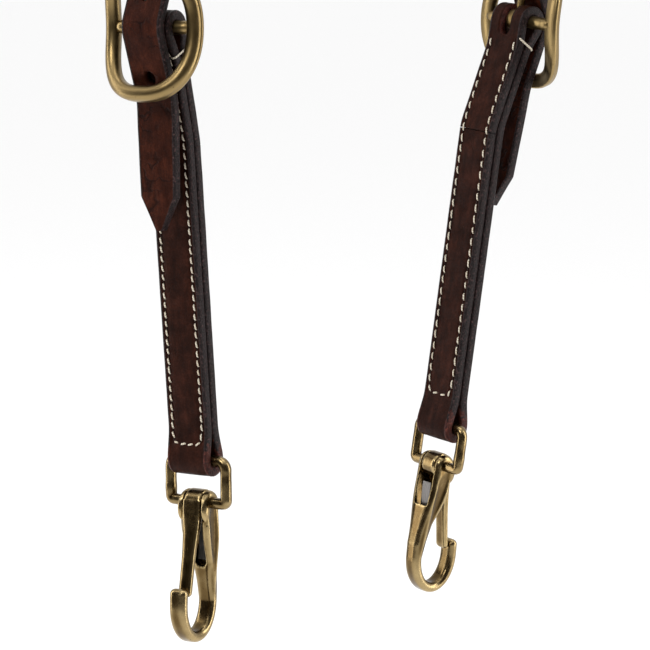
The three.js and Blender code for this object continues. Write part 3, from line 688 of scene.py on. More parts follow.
def stitch_row(name, line, normals, pitch, matrix, seed, closed=False):
    """A sewn line: its stitches and its awl marks, as one object with two materials."""
    rng = random.Random(seed)
    fine = resample(line, 0.4, closed)
    spread = []
    for p in fine:                                           # the normal of the nearest given point
        nearest = min(range(len(line)), key=lambda i: (line[i] - p).length)
        spread.append(normals[nearest])
    along = distances(fine)
    count = max(1, round(along[-1] / pitch))
    step = along[-1] / count
    ways = tangents(fine, closed)
    verts, faces, slots, run = [], [], [], []

    def index(s):
        return min(len(fine) - 1, max(0, round(s / along[-1] * (len(fine) - 1))))

    def add(more_verts, more_faces, more_run, slot):
        first = len(verts)
        verts.extend(more_verts)
        faces.extend(tuple(first + i for i in face) for face in more_faces)
        slots.extend([slot] * len(more_faces))
        run.extend(more_run)

    for i in range(count):
        s = (i + 0.5) * step + rng.uniform(-0.12, 0.12)
        half = pitch * STITCH_SHARE / 2 * rng.uniform(0.9, 1.06)
        a, b, mid = index(s - half), index(s + half), index(s)
        n = spread[mid]
        across = n.cross(ways[mid])
        lean = STITCH_SLANT * rng.uniform(0.6, 1.35)
        start, end = fine[a] - across * lean, fine[b] + across * lean
        if (end - start).length > 0.3:
            add(*stitch(start, end, n, rise=0.2 * rng.uniform(0.7, 1.15)), 0)
        slit_verts, slit_faces = awl_slit(fine[index(s + step / 2)], ways[mid], n)
        add(slit_verts, slit_faces, [(0, 0, 0)] * len(slit_verts), 1)
    return make_object(name, placed(verts, matrix), faces, [THREAD, AWL_DARK], slots, run)


# ---- strap of one leg

def fold(pin, radius, reach, towards):
    """The middle line of a ply that folds round a pin; towards is the way from the pin to the strap."""
    along = v3(math.cos(towards), 0, math.sin(towards))
    side = v3(-along.z, 0, along.x)
    flare = math.asin((radius - PLY_OFFSET) / reach)
    ends = [pin + along * reach + side * sign * PLY_OFFSET for sign in (1, -1)]
    return [ends[0], *arc(pin, radius, towards + math.pi / 2 - flare, math.pi + 2 * flare, 26), ends[1]]


def side_line(side, offset, low, reach):
    """Up one side of the doubled strap, through its bend, to a distance short of the bar."""
    half = offset * math.tan(LEAN[side] / 2)
    high = BAR[side] + DOWNWARD[side] * reach + OUTWARD[side] * offset
    return [v3(offset, 0, low), v3(offset, 0, BEND_Z + half), high]


def strap_line(side):
    """The middle line of the folded strip, and its outward normals."""
    top = fold(BAR[side], BAR_RADIUS + 0.35 + PLY / 2, TOP_FOLD, -math.pi / 2 - LEAN[side])[::-1]
    bottom = fold(v3(0, 0, LOOP_Z), LOOP_WIRE + 0.35 + PLY / 2, BOTTOM_FOLD, math.pi / 2)[::-1]
    back = side_line(side, -PLY_OFFSET, JOINT_Z + 0.08, TOP_FOLD)
    front = side_line(side, PLY_OFFSET, JOINT_Z, TOP_FOLD)
    line = [*back[:2], *top, front[1], *bottom, v3(-PLY_OFFSET, 0, JOINT_Z - 0.08)]
    line = relax(resample(line, 1.0), 6)
    return line, [v3(-t.z, 0, t.x) for t in tangents(line)]


def row_line(side, face):
    """The U of stitching on one face (1 front, -1 back): down an edge, across above the loop, and up."""
    low, high = ROW_END[side], BAR[side].z - ROW_TOP
    run = [(p + n * (PLY / 2 - 0.12), n) for p, n in zip(*strap_line(side))
           if n.x * face > 0.3 and low <= p.z <= high]
    run.sort(key=lambda pair: -pair[0].z)
    drawn_in = [1.2 * max(0, 1 - (p.z - low) / 5) for p, _ in run]    # the last stitches slant inwards
    edge = [(p + v3(0, ROW - pull, 0), n) for (p, n), pull in zip(run, drawn_in)]
    whole = edge + [(v3(p.x, -p.y, p.z), n) for p, n in reversed(edge)]
    return [p for p, _ in whole], [n for _, n in whole]


def tie_stitch(name, side, edge):
    """The long thread that ties the two plies round one edge, just under the bar."""
    lift = BAR[side] + DOWNWARD[side] * TIE_DROP
    out = OUTWARD[side]
    drop = DOWNWARD[side] * 1.2
    reach, half = PLY_OFFSET + PLY / 2 + 0.35, STRAP_WIDTH / 2 + 0.25
    back, front = lift - out * reach, lift + out * reach + drop * 2

    def across(y):
        return v3(0, edge * y, 0)

    line = [back + across(ROW + 0.2) + out * 0.8, back + across(ROW + 0.7), back + across(half - 0.5),
            lift + drop * 0.3 - out * (reach - 0.6) + across(half),
            lift + drop * 1.7 + out * (reach - 0.6) + across(half),
            front + across(half - 0.5), front + across(ROW + 0.7), front + across(ROW + 0.2) - out * 0.8]
    line = relax(resample(line, 0.6), 2)
    normals = [(p - lift - across(ROW)).normalized() for p in line]
    return swept(name, line, normals, disc(0.32, 0.4, 8), [THREAD], LEG[side])


def build_strap(side, seed):
    leg = LEG[side]
    line, outs = strap_line(side)
    sewn = (ROW_END[side] + 1, BAR[side].z - ROW_TOP - 1)

    def groove(p):
        return 0.34 * smooth(sewn[0] - 2, sewn[0], p.z) * smooth(sewn[1] + 3, sewn[1], p.z)

    widths = worn_widths(line, STRAP_WIDTH, seed)
    strap = leather_strip(f"{side}_folded_strap", line, outs, widths, [HAVANA, EDGE, RAW_EDGE], leg, groove)
    slot = stadium(5.8, 14)
    cutter = prism(f"{side}_slot_cutter", slot, 30, BUCKLE[side] @ Matrix.Translation(v3(0, 0, -3.4) * MM)
                   @ Matrix.Rotation(math.pi / 2, 4, "Z"), RAW_EDGE)
    cut(strap, [cutter])
    to_leg = leg.inverted()
    for face in strap.data.polygons:                 # the cut edge is left raw round the bottom fold
        at = to_leg @ face.center / MM
        if face.material_index == 1 and at.z + 5 * noise.noise(at * 0.4) < RAW_BELOW:
            face.material_index = 2
    stand_for(strap, f"{side}_strap", "havana_leather", f"{side}_strap")

    for face, word in ((1, "front"), (-1, "back")):
        points, normals = row_line(side, face)
        row = stitch_row(f"{side}_strap_{word}_stitches", points, normals, STITCH_PITCH[side], leg,
                         seed * 10 + face)
        stand_for(row, f"{side}_strap", "thread", f"{side}_strap_{word}_stitching")
    for edge, word in ((1, "far"), (-1, "near")):
        tie = tie_stitch(f"{side}_strap_{word}_tie_stitch", side, edge)
        stand_for(tie, f"{side}_strap", "thread")


def stadium(width, height):
    """Outline of a slot with a round lower end, as (x, z) pairs."""
    r = width / 2
    return [*ellipse_run((0, 0), (r, r), 180, 360, 16), (r, height), (-r, height)]


# ---- billet

def rounded_corner(before, corner, after, radius, steps):
    """A corner of a line in the XZ plane, rounded by an arc."""
    a, b = (before - corner).normalized(), (after - corner).normalized()
    half = math.acos(max(-1, min(1, a.dot(b)))) / 2
    start, end = (corner + way * radius / math.tan(half) for way in (a, b))
    centre = corner + (a + b).normalized() * radius / math.sin(half)
    spokes = (start - centre).normalized(), (end - centre).normalized()
    return [centre + spokes[0].slerp(spokes[1], i / steps) * radius for i in range(steps + 1)]


def corner_round(centre, radius, below, above):
    """The corner of the two lines from below and above that touch the front of a circle."""
    def slope(start, sign):
        away = centre - start
        return math.asin(radius / away.length) + math.atan2(sign * away.x, abs(away.z))
    low, high = slope(below, 1), slope(above, 1)
    reach = radius / math.cos((low + high) / 2)
    angle = (high - low) / 2
    return v3(centre.x + reach * math.cos(angle), 0, centre.z + reach * math.sin(angle))


def billet_line(side):
    tip = BAR[side] + v3(TAIL_X[side] - BAR[side].x, 0, -TAIL_LENGTH)
    knee = BAR[side] + v3(KNEE_X[side] - BAR[side].x, 0, -KNEE_DROP)
    shoulder = BAR[side] + v3(SHOULDER_X, 0, SHOULDER_RISE)
    nose = corner_round(BAR[side], NOSE_RADIUS, knee, shoulder)
    straight, top = v3(BILLET_X, 0, BILLET_STRAIGHT), v3(BILLET_X, 0, BILLET_TOP)
    line = [tip,
            *rounded_corner(tip, knee, nose, 30, 6),
            *rounded_corner(knee, nose, shoulder, NOSE_RADIUS, 16),
            *rounded_corner(nose, shoulder, straight, 14, 8),
            *rounded_corner(shoulder, straight, top, 30, 4),
            top]
    return resample(line, 0.9)


def tail_share(distance):
    """The billet's width as a share of the full one: a point, then a slight taper."""
    full = lerp(0.9, 1, min(1, distance / (3 * TAIL_POINT)))
    return full * lerp(0.16, 1, min(1, distance / TAIL_POINT))


def build_billet(side, seed):
    leg = LEG[side]
    line = billet_line(side)
    ways = tangents(line)
    outs = [v3(t.z, 0, -t.x) for t in ways]
    along = distances(line)
    widths = [w * tail_share(s) for s, w in zip(along, worn_widths(line, BILLET_WIDTH, seed))]
    billet = leather_strip(f"{side}_punched_billet", line, outs, widths, [CHESTNUT, EDGE], leg)
    cutters = []
    for i in range(3):
        at = FIRST_HOLE + i * HOLE_PITCH
        k = next(j for j, s in enumerate(along) if s >= at)
        stretch = 2.1 if i == 1 else 1.15                    # the hole in use is drawn long by its tongue
        turn = basis(line[k] * MM, ways[k], outs[k], ways[k].cross(outs[k]))
        oval = disc(HOLE_RADIUS * stretch, HOLE_RADIUS, 24)
        cutters.append(prism(f"{side}_hole_cutter_{i}", oval, 12, leg @ turn, AWL_DARK))
    cut(billet, cutters)
    stand_for(billet, "yoke", "chestnut_leather", f"{side}_billet")


# ---- brass

def rounded(outline, radius, steps=4):
    """An outline of (x, y) pairs with each corner rounded by an arc."""
    out = []
    points = [v3(x, 0, y) for x, y in outline]
    for i, p in enumerate(points):
        before, after = points[i - 1], points[(i + 1) % len(points)]
        a, b = before - p, after - p
        half = a.angle(b) / 2
        if half > math.pi / 2 - 0.02:
            out.append((p.x, p.z))
            continue
        reach = min(radius / math.tan(half), a.length * 0.48, b.length * 0.48)
        for q in rounded_corner(before, p, after, reach * math.tan(half), steps):
            out.append((q.x, q.z))
    return out


def mark_crests(obj, rounds=24, scale=0.12):
    """Stores how far each point stands out of the smoothed surface, for the rubbing of its metal and for
    painted light: a painted highlight on crests and painted shade in hollows.
    """
    mesh = obj.data
    co = numpy.empty(len(mesh.vertices) * 3)
    mesh.vertices.foreach_get("co", co)
    co = co.reshape(-1, 3)
    ends = numpy.empty(len(mesh.edges) * 2, dtype=int)
    mesh.edges.foreach_get("vertices", ends)
    ends = ends.reshape(-1, 2)
    degree = numpy.bincount(ends.ravel(), minlength=len(co))[:, None].clip(1)
    soft = co.copy()
    for _ in range(rounds):
        total = numpy.zeros_like(soft)
        numpy.add.at(total, ends[:, 0], soft[ends[:, 1]])
        numpy.add.at(total, ends[:, 1], soft[ends[:, 0]])
        soft = 0.5 * soft + 0.5 * total / degree
    normals = numpy.array([v.normal for v in mesh.vertices])
    height = numpy.einsum("ij,ij->i", co - soft, normals) / (scale * MM)
    crest = 0.5 + 0.5 * numpy.tanh(height)
    for _ in range(6):                                       # neighbours share, which calms the fine noise
        total = numpy.bincount(ends[:, 0], crest[ends[:, 1]], len(co))
        total += numpy.bincount(ends[:, 1], crest[ends[:, 0]], len(co))
        crest = 0.4 * crest + 0.6 * total / degree[:, 0]
    attribute = mesh.attributes.new("crest", "FLOAT", "POINT")
    attribute.data.foreach_set("value", crest.astype(numpy.float32))
    return obj


def cast(obj, voxel=0.24, rounds=6, factor=0.5):
    """Melts a piece's solids into one casting with soft edges."""
    finished(obj, [("REMESH", {"mode": "VOXEL", "voxel_size": voxel * MM, "use_smooth_shade": True}),
                   ("SMOOTH", {"factor": factor, "iterations": rounds})])
    return obj


def collar(name, radius, bore, width, corner, material, matrix):
    """A round collar on the Y axis, its rim corners rounded."""
    middle = (radius + bore) / 2
    points = [v3(x, 0, z) for z, x in disc(middle, middle, 48)]
    t = (radius - bore) / 2
    outline = rounded([(t, -width / 2), (t, width / 2), (-t, width / 2), (-t, -width / 2)], corner)
    return swept(name, points, [p.normalized() for p in points], outline, [material], matrix, closed=True)


def build_frame(side):
    """The buckle's oval frame, bowed at its ends, half round in front with a fine shoulder on its rim."""
    points = []
    for c, sn in disc(1, 1, 160):
        y = squared_off(c, 2 / FRAME_ROUNDNESS) * FRAME_HALF_WIDTH
        z = squared_off(sn, 2 / FRAME_ROUNDNESS) * FRAME_HALF_HEIGHT
        points.append(v3(FRAME_BOW * (z / FRAME_HALF_HEIGHT) ** 2 - FRAME_TILT * z, y, z))
    points = resample(points, 1.0, closed=True)
    h = FRAME_WIRE / 2
    crown = [(0.2 + 2.6 * math.sin(a), -0.02 * h - 0.9 * h * math.cos(a))
             for a in (math.pi * i / 14 for i in range(15))]
    outline = [(-1.9, -0.66 * h), (-1.5, -0.86 * h), *crown, (-0.05, 0.9 * h), (-0.35, 0.99 * h), (-0.6, h),
               (-1.2, h), (-1.7, 0.93 * h), (-1.9, 0.8 * h)]
    ways = tangents(points, closed=True)
    outs = [t.cross(v3(1, 0, 0)).normalized().cross(t) for t in ways]
    matrix = BUCKLE[side] @ Matrix.Translation(v3(0, FRAME_SHIFT[side], 0) * MM)
    oval = swept(f"{side}_oval", points, outs, outline, [BRASS], matrix, closed=True)
    inner = FRAME_HALF_WIDTH - FRAME_WIRE / 2
    ends = [inner - 2.6, inner - 1.6, inner - 0.7, inner, inner + 1, inner + 2.2]
    stations = [-y for y in reversed(ends)] + [-9, -3, 3, 9] + ends
    line = [v3(-0.45 * smooth(inner - 1.6, inner + 1, abs(y)), y, 0) for y in stations]
    waist = [BAR_RADIUS - 0.7 * smooth(inner - 1, inner + 2.2, abs(y)) for y in stations]
    bar = swept(f"{side}_bar", line, v3(1, 0, 0), [disc(r, r, 28) for r in waist], [BRASS], matrix)
    buckle = joined(f"{side}_oval_buckle", [oval, bar])
    mark_crests(buckle, 30, 0.5)
    stand_for(buckle, "yoke", "brass", f"{side}_buckle_frame")


def build_tongue(side):
    """The tongue's bent prong and the knuckle that turns on the bar."""
    bends = [v3(0.4, 0, 2.9), v3(0.4, 0, 6.6), v3(0.7, 0, 11), v3(2.4, 0, 14.8), v3(6, 0, 17.4),
             v3(9.5, 0, 20.2), v3(10.5, 0, 24.4), v3(10.3, 0, 28)]
    line = relax(resample(bends, 0.8), 8)
    taper = [1 - 0.25 * i / (len(line) - 1) for i in range(len(line))]
    taper[-2:] = [0.7, 0.35]
    sections = [disc(1.55 * k, 1.8 * k, 20) for k in taper]
    prong = swept(f"{side}_prong", line, v3(1, 0, 0), sections, [BRASS], BUCKLE[side])
    knuckle = collar(f"{side}_knuckle", 4.4, 2.75, 5, 0.7, BRASS, BUCKLE[side])
    tongue = cast(joined(f"{side}_bent_tongue", [prong, knuckle]), 0.2, 4)
    only_material(tongue, BRASS)
    mark_crests(tongue)
    stand_for(tongue, f"{side}_tongue", "brass", f"{side}_buckle_tongue")


def build_loop(side):
    """The wire loop that the strap folds round: softly rounded at the top, squarer below."""
    top, bottom = 3.2, 1.3
    points = []
    for y, z, radius, start in ((LOOP_HALF - top, -top, top, 0), (top - LOOP_HALF, -top, top, 90),
                                (bottom - LOOP_HALF, bottom - LOOP_HEIGHT, bottom, 180),
                                (LOOP_HALF - bottom, bottom - LOOP_HEIGHT, bottom, 270)):
        for i in range(9):
            angle = math.radians(start + 90 * i / 8)
            points.append(v3(0, y + radius * math.cos(angle), z + radius * math.sin(angle)))
    points = resample(points, 0.5, closed=True)
    sections = []
    for p in points:
        swell = 1 + 0.07 * noise.noise(p * 0.22)             # hand-finished wire is never quite even
        sections.append([tuple(squared_off(k, 0.86) * LOOP_WIRE * swell for k in pair)
                         for pair in disc(1, 1, 24)])
    wire = swept(f"{side}_wire_loop", points, v3(1, 0, 0), sections, [CAST_BRASS], LOOP[side], closed=True)
    loop = cast(wire, 0.2, 10)
    mark_crests(loop, 40, 0.2)
    stand_for(loop, f"{side}_loop", "brass", f"{side}_snap_loop")


def quadratic(a, b, c, steps):
    """Points of a quadratic curve, as pairs."""
    out = []
    for i in range(steps + 1):
        t = i / steps
        out.append(tuple(lerp(lerp(a[k], b[k], t), lerp(b[k], c[k], t), t) for k in (0, 1)))
    return out


def ellipse_run(centre, radii, start, end, steps):
    angles = (math.radians(lerp(start, end, i / steps)) for i in range(steps + 1))
    return [(centre[0] + radii[0] * math.cos(a), centre[1] + radii[1] * math.sin(a)) for a in angles]


def hook_outline():
    """Side view of the hook, origin on its pivot: a boss, a spine down the back, and a J."""
    centre = (1.9, -38)
    outer = (HOOK_REACH / 2, HOOK_DEPTH + centre[1])
    inner = (outer[0] - HOOK_STRIP, outer[1] - HOOK_STRIP)
    tip = (centre[0] + outer[0] - HOOK_STRIP / 2, centre[1] + 4.2)
    return [
        *ellipse_run((0, 0), (HOOK_BOSS, HOOK_BOSS), -20, 180, 26),
        *quadratic((-HOOK_BOSS, 0), (-6.2, -14), (centre[0] - outer[0], centre[1] + 6), 18)[1:],
        *ellipse_run(centre, outer, 180, 360, 40),
        *ellipse_run(tip, (HOOK_STRIP / 2, HOOK_STRIP / 2), 0, 180, 12),
        *ellipse_run(centre, inner, 360, 180, 36),
        *quadratic((centre[0] - inner[0], centre[1]), (-3.2, -29), (-2.2, -24), 8)[1:],
        *quadratic((-2.2, -24), (2.6, -15), (3.4, -9), 10)[1:],
    ]


def inset(outline, distance):
    """The same outline moved inwards; it runs counterclockwise."""
    out = []
    for i, (x, z) in enumerate(outline):
        (xa, za), (xb, zb) = outline[i - 1], outline[(i + 1) % len(outline)]
        length = math.hypot(xb - xa, zb - za)
        out.append((x - (zb - za) / length * distance, z + (xb - xa) / length * distance))
    return out


def ball(name, centre, radii, matrix):
    """A smooth ellipsoid, such as a leaf cast on a hook's lug."""
    bm = bmesh.new()
    bmesh.ops.create_uvsphere(bm, u_segments=24, v_segments=14, radius=1)
    verts = [centre + v3(v.co.x * radii[0], v.co.y * radii[1], v.co.z * radii[2]) for v in bm.verts]
    faces = [tuple(v.index for v in f.verts) for f in bm.faces]
    bm.free()
    return make_object(name, placed(verts, matrix), faces, [CAST_BRASS])


def hook_body(side):
    """The hook without its channel: its side view carried across, drawn in to a round at both sides."""
    outline = hook_outline()
    count = len(outline)
    round_radius, flat = 1.75, 0.42
    shares = [-1, -0.97, -0.9, -0.8, -0.65, -flat, 0, flat, 0.65, 0.8, 0.9, 0.97, 1]
    verts = []
    for share in shares:
        turn = max(0, (abs(share) - flat) / (1 - flat))
        drawn = inset(outline, round_radius * (1 - math.sqrt(1 - turn * turn)))
        for (x, z), (_, level) in zip(drawn, outline):
            half = lerp(HOOK_WIDTH, HOOK_NECK, smooth(10, 33, -level)) / 2
            verts.append(v3(x, share * half, z))
    faces = walls(count, len(shares))
    return facing_out(make_object(f"{side}_hook_body", placed(verts, HOOK[side]), faces, [CAST_BRASS]))


def channel_cutter(side):
    """What makes the fork and the trough below it, which narrows."""
    levels = [(9, 1), (-7.9, 1), (-12.5, 0.92), (-17, 0.84), (-21, 0.74), (-23.4, 0.6), (-24.8, 0.34)]
    verts = []
    for z, share in levels:
        front = 9 if z > -17.5 else lerp(9, -2, (-17 - z) / 7.8)
        back = -14 if z > -12.6 else lerp(-5, -4.6, (-12.5 - z) / 12.3)
        half = HOOK_SLOT / 2 * share
        verts += [v3(x, y, z) for x, y in ((back, -half), (front, -half), (front, half), (back, half))]
    faces = walls(4, len(levels))
    return facing_out(make_object(f"{side}_channel_cutter", placed(verts, HOOK[side]), faces, [CAST_BRASS]))


def build_hook(side):
    """The forked snap hook: two leaf-fronted lugs, a channel for gate and spring, and a J."""
    lug = (HOOK_WIDTH + HOOK_SLOT) / 4
    leaves = [ball(f"{side}_leaf_{word}", v3(2.9, y * lug, -2.2), (2.6, 1.35, 5), HOOK[side])
              for y, word in ((1, "a"), (-1, "b"))]
    hook = cast(joined(f"{side}_forked_hook", [hook_body(side), *leaves]), 0.3, 2)
    cut(hook, [channel_cutter(side)])
    cast(hook, 0.22, 14)
    only_material(hook, CAST_BRASS)
    mark_crests(hook, 40, 0.16)
    stand_for(hook, f"{side}_hook", "brass", f"{side}_snap_hook")


def build_gate(side):
    """The gate: a knuckle on the pivot and a crowned blade that closes inside the hook's tip."""
    fronts = [(4.96, 1.4), (5.2, -3), (8.7, 2 - GATE_LENGTH), (8.3, 0.6 - GATE_LENGTH), (7.6, -GATE_LENGTH)]
    backs = [(1.6, 0.4), (2.2, -5), (6, 2 - GATE_LENGTH), (6.6, 0.6 - GATE_LENGTH), (7.2, -GATE_LENGTH)]
    points, sections = [], []
    for step in (0, 0.5, 1, *(1 + i / 16 for i in range(1, 17)), 2.5, 3, 3.6):
        k = min(3, int(step))
        t = step - k
        fx, fz = (lerp(fronts[k][i], fronts[k + 1][i], t) for i in (0, 1))
        bx, bz = (lerp(backs[k][i], backs[k + 1][i], t) for i in (0, 1))
        h = math.hypot(fx - bx, fz - bz) / 2
        w = lerp(GATE_WIDTH, GATE_END, smooth(0, 22, -fz)) / 2
        if step > 2.4:
            w *= (1, 0.82, 0.55)[min(2, int((step - 2.4) / 0.5))]
        flat = lerp(0.85, 0.35, smooth(0, 12, -fz))
        crown = [(h * lerp(math.cos(a), 1, flat), w * math.sin(a)) for a in
                 (math.pi / 2 * i / 6 for i in range(-6, 7))]
        points.append(v3((fx + bx) / 2, 0, (fz + bz) / 2))
        back = [(-h * 0.75, w * 0.96), (-h, w * 0.7), (-h, -w * 0.7), (-h * 0.75, -w * 0.96)]
        sections.append([*crown, *back])
    blade = swept(f"{side}_blade", points, v3(1, 0, 0), sections, [CAST_BRASS], HOOK[side])
    knuckle = collar(f"{side}_gate_knuckle", 4.95, 2.45, GATE_WIDTH - 0.1, 1.1, CAST_BRASS, HOOK[side])
    gate = cast(joined(f"{side}_crowned_gate", [blade, knuckle]), 0.2, 11)
    only_material(gate, CAST_BRASS)
    mark_crests(gate, 40, 0.14)
    stand_for(gate, f"{side}_gate", "brass", f"{side}_snap_gate")


# ---- yoke, chape and ring

def in_row(side, x, y, z):
    """A point of a leg's frame in the row frame, in millimetres."""
    return (LEG[side] @ (v3(x, y, z) * MM)) / MM


def yoke_stations():
    """Points over the yoke from the left lap to the right one: place, normal, width direction, lap."""
    ends = {}
    for side in SIDES:
        spin = LEG[side].to_3x3()
        ends[side] = ([in_row(side, BILLET_X, 0, z) for z in (YOKE_LAP, BILLET_TOP + 0.3, BILLET_TOP + 9)],
                      spin @ v3(0, 0, 1), spin @ v3(0, 1, 0))
    (low_a, up_a, across_a), (low_b, up_b, across_b) = ends["left"], ends["right"]
    top_a, top_b = low_a[2], low_b[2]
    level = (top_b - top_a) * 0.5
    level.z = 0
    crown = v3((top_a.x + top_b.x) / 2, (top_a.y + top_b.y) / 2, YOKE_CROWN)
    rise = bezier(top_a, top_a + up_a * 0.56 * (crown.z - top_a.z), crown - level * 0.56, crown, 40)
    fall = bezier(top_b, top_b + up_b * 0.56 * (crown.z - top_b.z), crown + level * 0.56, crown, 40)[::-1]
    lap_a, lap_b = resample(low_a[:2], 4), resample(low_b[:2], 4)
    points = [*lap_a, *rise, *fall[1:], *lap_b[::-1]]
    laps = [1] * len(lap_a) + [0] * (len(points) - len(lap_a) - len(lap_b)) + [1] * len(lap_b)
    crown_across = v3(-level.y, level.x, 0).normalized()
    inner = len(points) - len(lap_a) - len(lap_b) - 1
    stations = []
    for i, (p, t, lap) in enumerate(zip(points, tangents(points), laps)):
        share = min(1, max(0, (i - len(lap_a)) / inner))
        end = -across_a if share < 0.5 else across_b
        guide = end.lerp(crown_across, 1 - abs(2 * share - 1))
        w = (guide - t * guide.dot(t)).normalized()
        stations.append((p, t.cross(w).normalized(), w, lap))
    return stations, crown, crown_across


def build_yoke(stations):
    for side, word in ((1, "outer"), (-1, "lining")):
        centres = [p + n * side * (lap * (PLY / 2 + 0.3) + (1 - lap) * 0.15 + YOKE_PLY / 2)
                   for p, n, _, lap in stations]
        outs = [n * side for _, n, _, _ in stations]
        outline = ply_outline(YOKE_PLY, YOKE_WIDTH, 0.3, 8)
        slots = ply_slots(YOKE_PLY, YOKE_WIDTH, len(centres))
        ply = swept(f"yoke_{word}_leather", centres, outs, outline, [CHESTNUT, EDGE], Matrix(), slots)
        stand_for(ply, "yoke", "chestnut_leather", f"yoke_{word}_ply")

        face = [c + n * (YOKE_PLY / 2 - 0.1) for c, n in zip(centres, outs)]
        ways = [w for _, _, w, _ in stations]
        first = next(i for i, c in enumerate(face) if (c - face[0]).length >= 5)
        keep = slice(first, len(face) - first)
        ring = [c + w * 8 for c, w in zip(face[keep], ways[keep])]
        ring += [c - w * 8 for c, w in zip(face[keep], ways[keep])][::-1]
        normals = outs[keep] + outs[keep][::-1]
        row = stitch_row(f"yoke_{word}_stitches", ring, normals, 4.2, Matrix(), 40 + side, closed=True)
        stand_for(row, "yoke", "thread", f"yoke_{word}_stitching")


def build_ring(crown, crown_across):
    """The chape that wraps the yoke and carries the ring, and the ring itself."""
    ring_centre = RING_WIRE - RING_RADIUS
    eye_z = ring_centre - RING_RADIUS
    along = crown_across.cross(v3(0, 0, 1)) * -1
    matrix = basis(v3(crown.x, crown.y, eye_z) * MM, crown_across, along, v3(0, 0, 1))
    ply, yoke_z = CHAPE_PLY, crown.z - eye_z
    half = YOKE_WIDTH / 2 + 0.6 + ply / 2
    low, high = yoke_z - YOKE_PLY - 1.25 - ply / 2, yoke_z + YOKE_PLY + 0.55 + ply / 2
    neck = ply / 2 + 0.08
    right = [v3(0.2, 0, low), v3(half - 1.6, 0, low), v3(half, 0, low + 1.8), v3(half, 0, high - 2.4),
             v3(half - 2.6, 0, high + 0.3), v3(neck + 2.2, 0, high + 1.4), v3(neck, 0, high + 3.8),
             v3(neck, 0, NECK_TOP)]
    eye = arc(v3(0, 0, 0), 4.3 + ply / 2, math.radians(-60), math.radians(300), 30)
    line = [*right, *eye, *[v3(-p.x, 0, p.z) for p in reversed(right)]]
    line = relax(resample(line, 0.7), 5)
    outs = [v3(t.z, 0, -t.x) for t in tangents(line)]
    outline = ply_outline(ply, CHAPE_WIDTH, 0, 5)
    slots = ply_slots(ply, CHAPE_WIDTH, len(line))
    chape = swept("folded_chape", line, outs, outline, [HAVANA, EDGE], matrix, slots)
    stand_for(chape, "yoke", "havana_leather", "ring_chape")
    for side, word in ((-1, "front"), (1, "back")):
        z = (high + NECK_TOP) / 2 + 2
        ends = [v3(side * (ply + 0.02), end * 5, z) for end in (-1, 1)]
        row = resample(ends, 0.8)
        normals = [v3(side, 0, 0)] * len(row)
        sewn = stitch_row(f"chape_{word}_stitches", row, normals, 3.3, matrix, 60 + side)
        stand_for(sewn, "yoke", "thread", f"ring_chape_{word}_stitching")

    points = [v3(0, y, z) for z, y in disc(RING_RADIUS, RING_RADIUS, 120)]
    at = basis(v3(crown.x, crown.y, ring_centre) * MM, crown_across, along, v3(0, 0, 1))
    wire = disc(RING_WIRE, RING_WIRE, 24)
    ring = swept("hanging_ring", points, v3(1, 0, 0), wire, [BRASS], at, closed=True)
    mark_crests(ring, 60, 0.8)
    stand_for(ring, "ring", "brass", "centre_ring")


# ---- the object

for number, side in enumerate(SIDES, 1):
    build_strap(side, number)
    build_billet(side, number + 4)
    build_frame(side)
    build_tongue(side)
    build_loop(side)
    build_hook(side)
    build_gate(side)
    only_material(frame["nodes"][f"{side}_snap_spring"], STEEL)
STATIONS, CROWN, CROWN_ACROSS = yoke_stations()
build_yoke(STATIONS)
build_ring(CROWN, CROWN_ACROSS)


# ---- studio

def camera():
    """Stands 1.2 m off and looks a little down on the straps from the left front."""
    azimuth, elevation, roll = math.radians(-47.88), math.radians(8.83), math.radians(1.225)
    back = v3(math.sin(azimuth) * math.cos(elevation), -math.cos(azimuth) * math.cos(elevation),
              math.sin(elevation))
    right = v3(math.cos(azimuth), math.sin(azimuth), 0)
    up = back.cross(right)
    turned = right * math.cos(roll) + up * math.sin(roll)
    risen = up * math.cos(roll) - right * math.sin(roll)
    data = bpy.data.cameras.new("camera")
    data.lens = 172.5
    data.clip_start, data.clip_end = 0.01, 50
    cam = linked("camera", data)
    target = v3(-0.0006, 0.0055, -0.3522)
    cam.matrix_world = basis(target + back * 1.2, turned, risen, back)
    bpy.context.scene.camera = cam
    return back, right


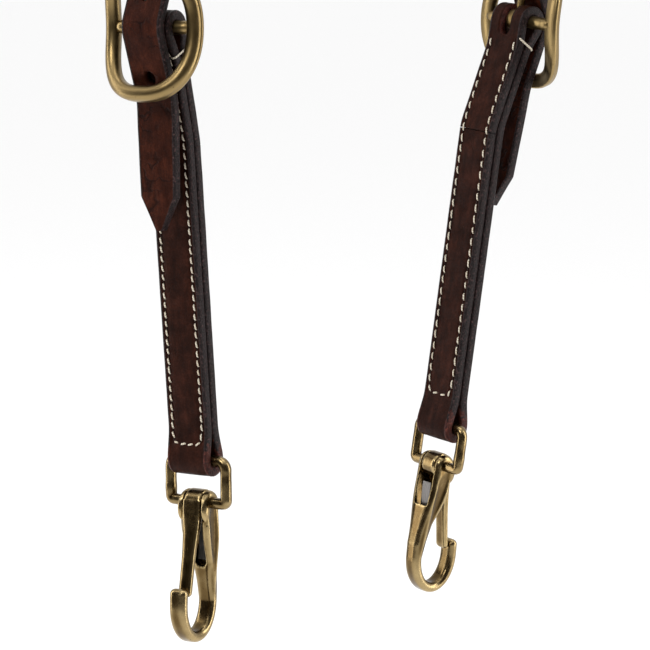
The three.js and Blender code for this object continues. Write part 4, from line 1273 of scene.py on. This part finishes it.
def softbox(name, at, target, width, height, watts):
    data = bpy.data.lights.new(name, "AREA")
    data.shape = "RECTANGLE"
    data.size, data.size_y = width, height
    data.energy = watts
    light = linked(name, data)
    light.location = at
    light.rotation_mode = "QUATERNION"
    light.rotation_quaternion = (at - target).to_track_quat("Z", "Y")


def dark_tent(middle, back):
    """A curved dark screen on the camera's side that the brass reflects and the camera doesn't see."""
    start = math.atan2(back.y, back.x)
    radius, low, high, steps = 1.35, -0.75, 0.95, 24
    verts, faces = [], []
    for i in range(steps + 1):
        angle = start + math.radians(lerp(-118, 88, i / steps))
        foot = middle + v3(math.cos(angle), math.sin(angle), 0) * radius
        verts += [foot + v3(0, 0, low), foot + v3(0, 0, high)]
    for i in range(steps):
        faces.append((2 * i, 2 * i + 2, 2 * i + 3, 2 * i + 1))
    shader = Shader("dark_screen", Base_Color=(0.035, 0.03, 0.027, 1), Roughness=0.9)
    sheet = make_object("dark_screen", verts, faces, [shader.material])
    sheet.visible_camera = False
    sheet.visible_shadow = False
    sheet.visible_diffuse = False


def backdrop():
    """A pale floor."""
    size, z = 12, CAD_BOX[0].z - 0.25
    verts = [v3(x, y, z) for x, y in ((-size, -size), (size, -size), (size, size), (-size, size))]
    floor = make_object("floor", verts, [(0, 1, 2, 3)], [plain_backdrop()])


def studio():
    back, right = camera()
    middle = (CAD_BOX[0] + CAD_BOX[1]) / 2
    level = v3(back.x, back.y, 0).normalized()
    up = v3(0, 0, 1)
    softbox("key", middle + level * 0.85 - right * 0.75 + up * 0.75, middle, 0.45, 0.45, 7)
    softbox("rim_left", middle - right * 1.1 - level * 0.1 + up * 0.1, middle, 0.22, 1.4, 7)
    softbox("rim_right", middle + right * 1.05 + level * 0.05 + up * 0.1, middle, 0.22, 1.4, 9)
    softbox("top", middle + up * 1.3, middle, 0.9, 0.9, 10)
    world = bpy.data.worlds.new("studio")
    world.use_nodes = True
    background = world.node_tree.nodes["Background"]
    background.inputs["Color"].default_value = (1, 1, 1, 1)
    background.inputs["Strength"].default_value = 1.0
    bpy.context.scene.world = world
    dark_tent(middle, back)
    bpy.context.scene.view_settings.view_transform = "Standard"
    backdrop()


studio()
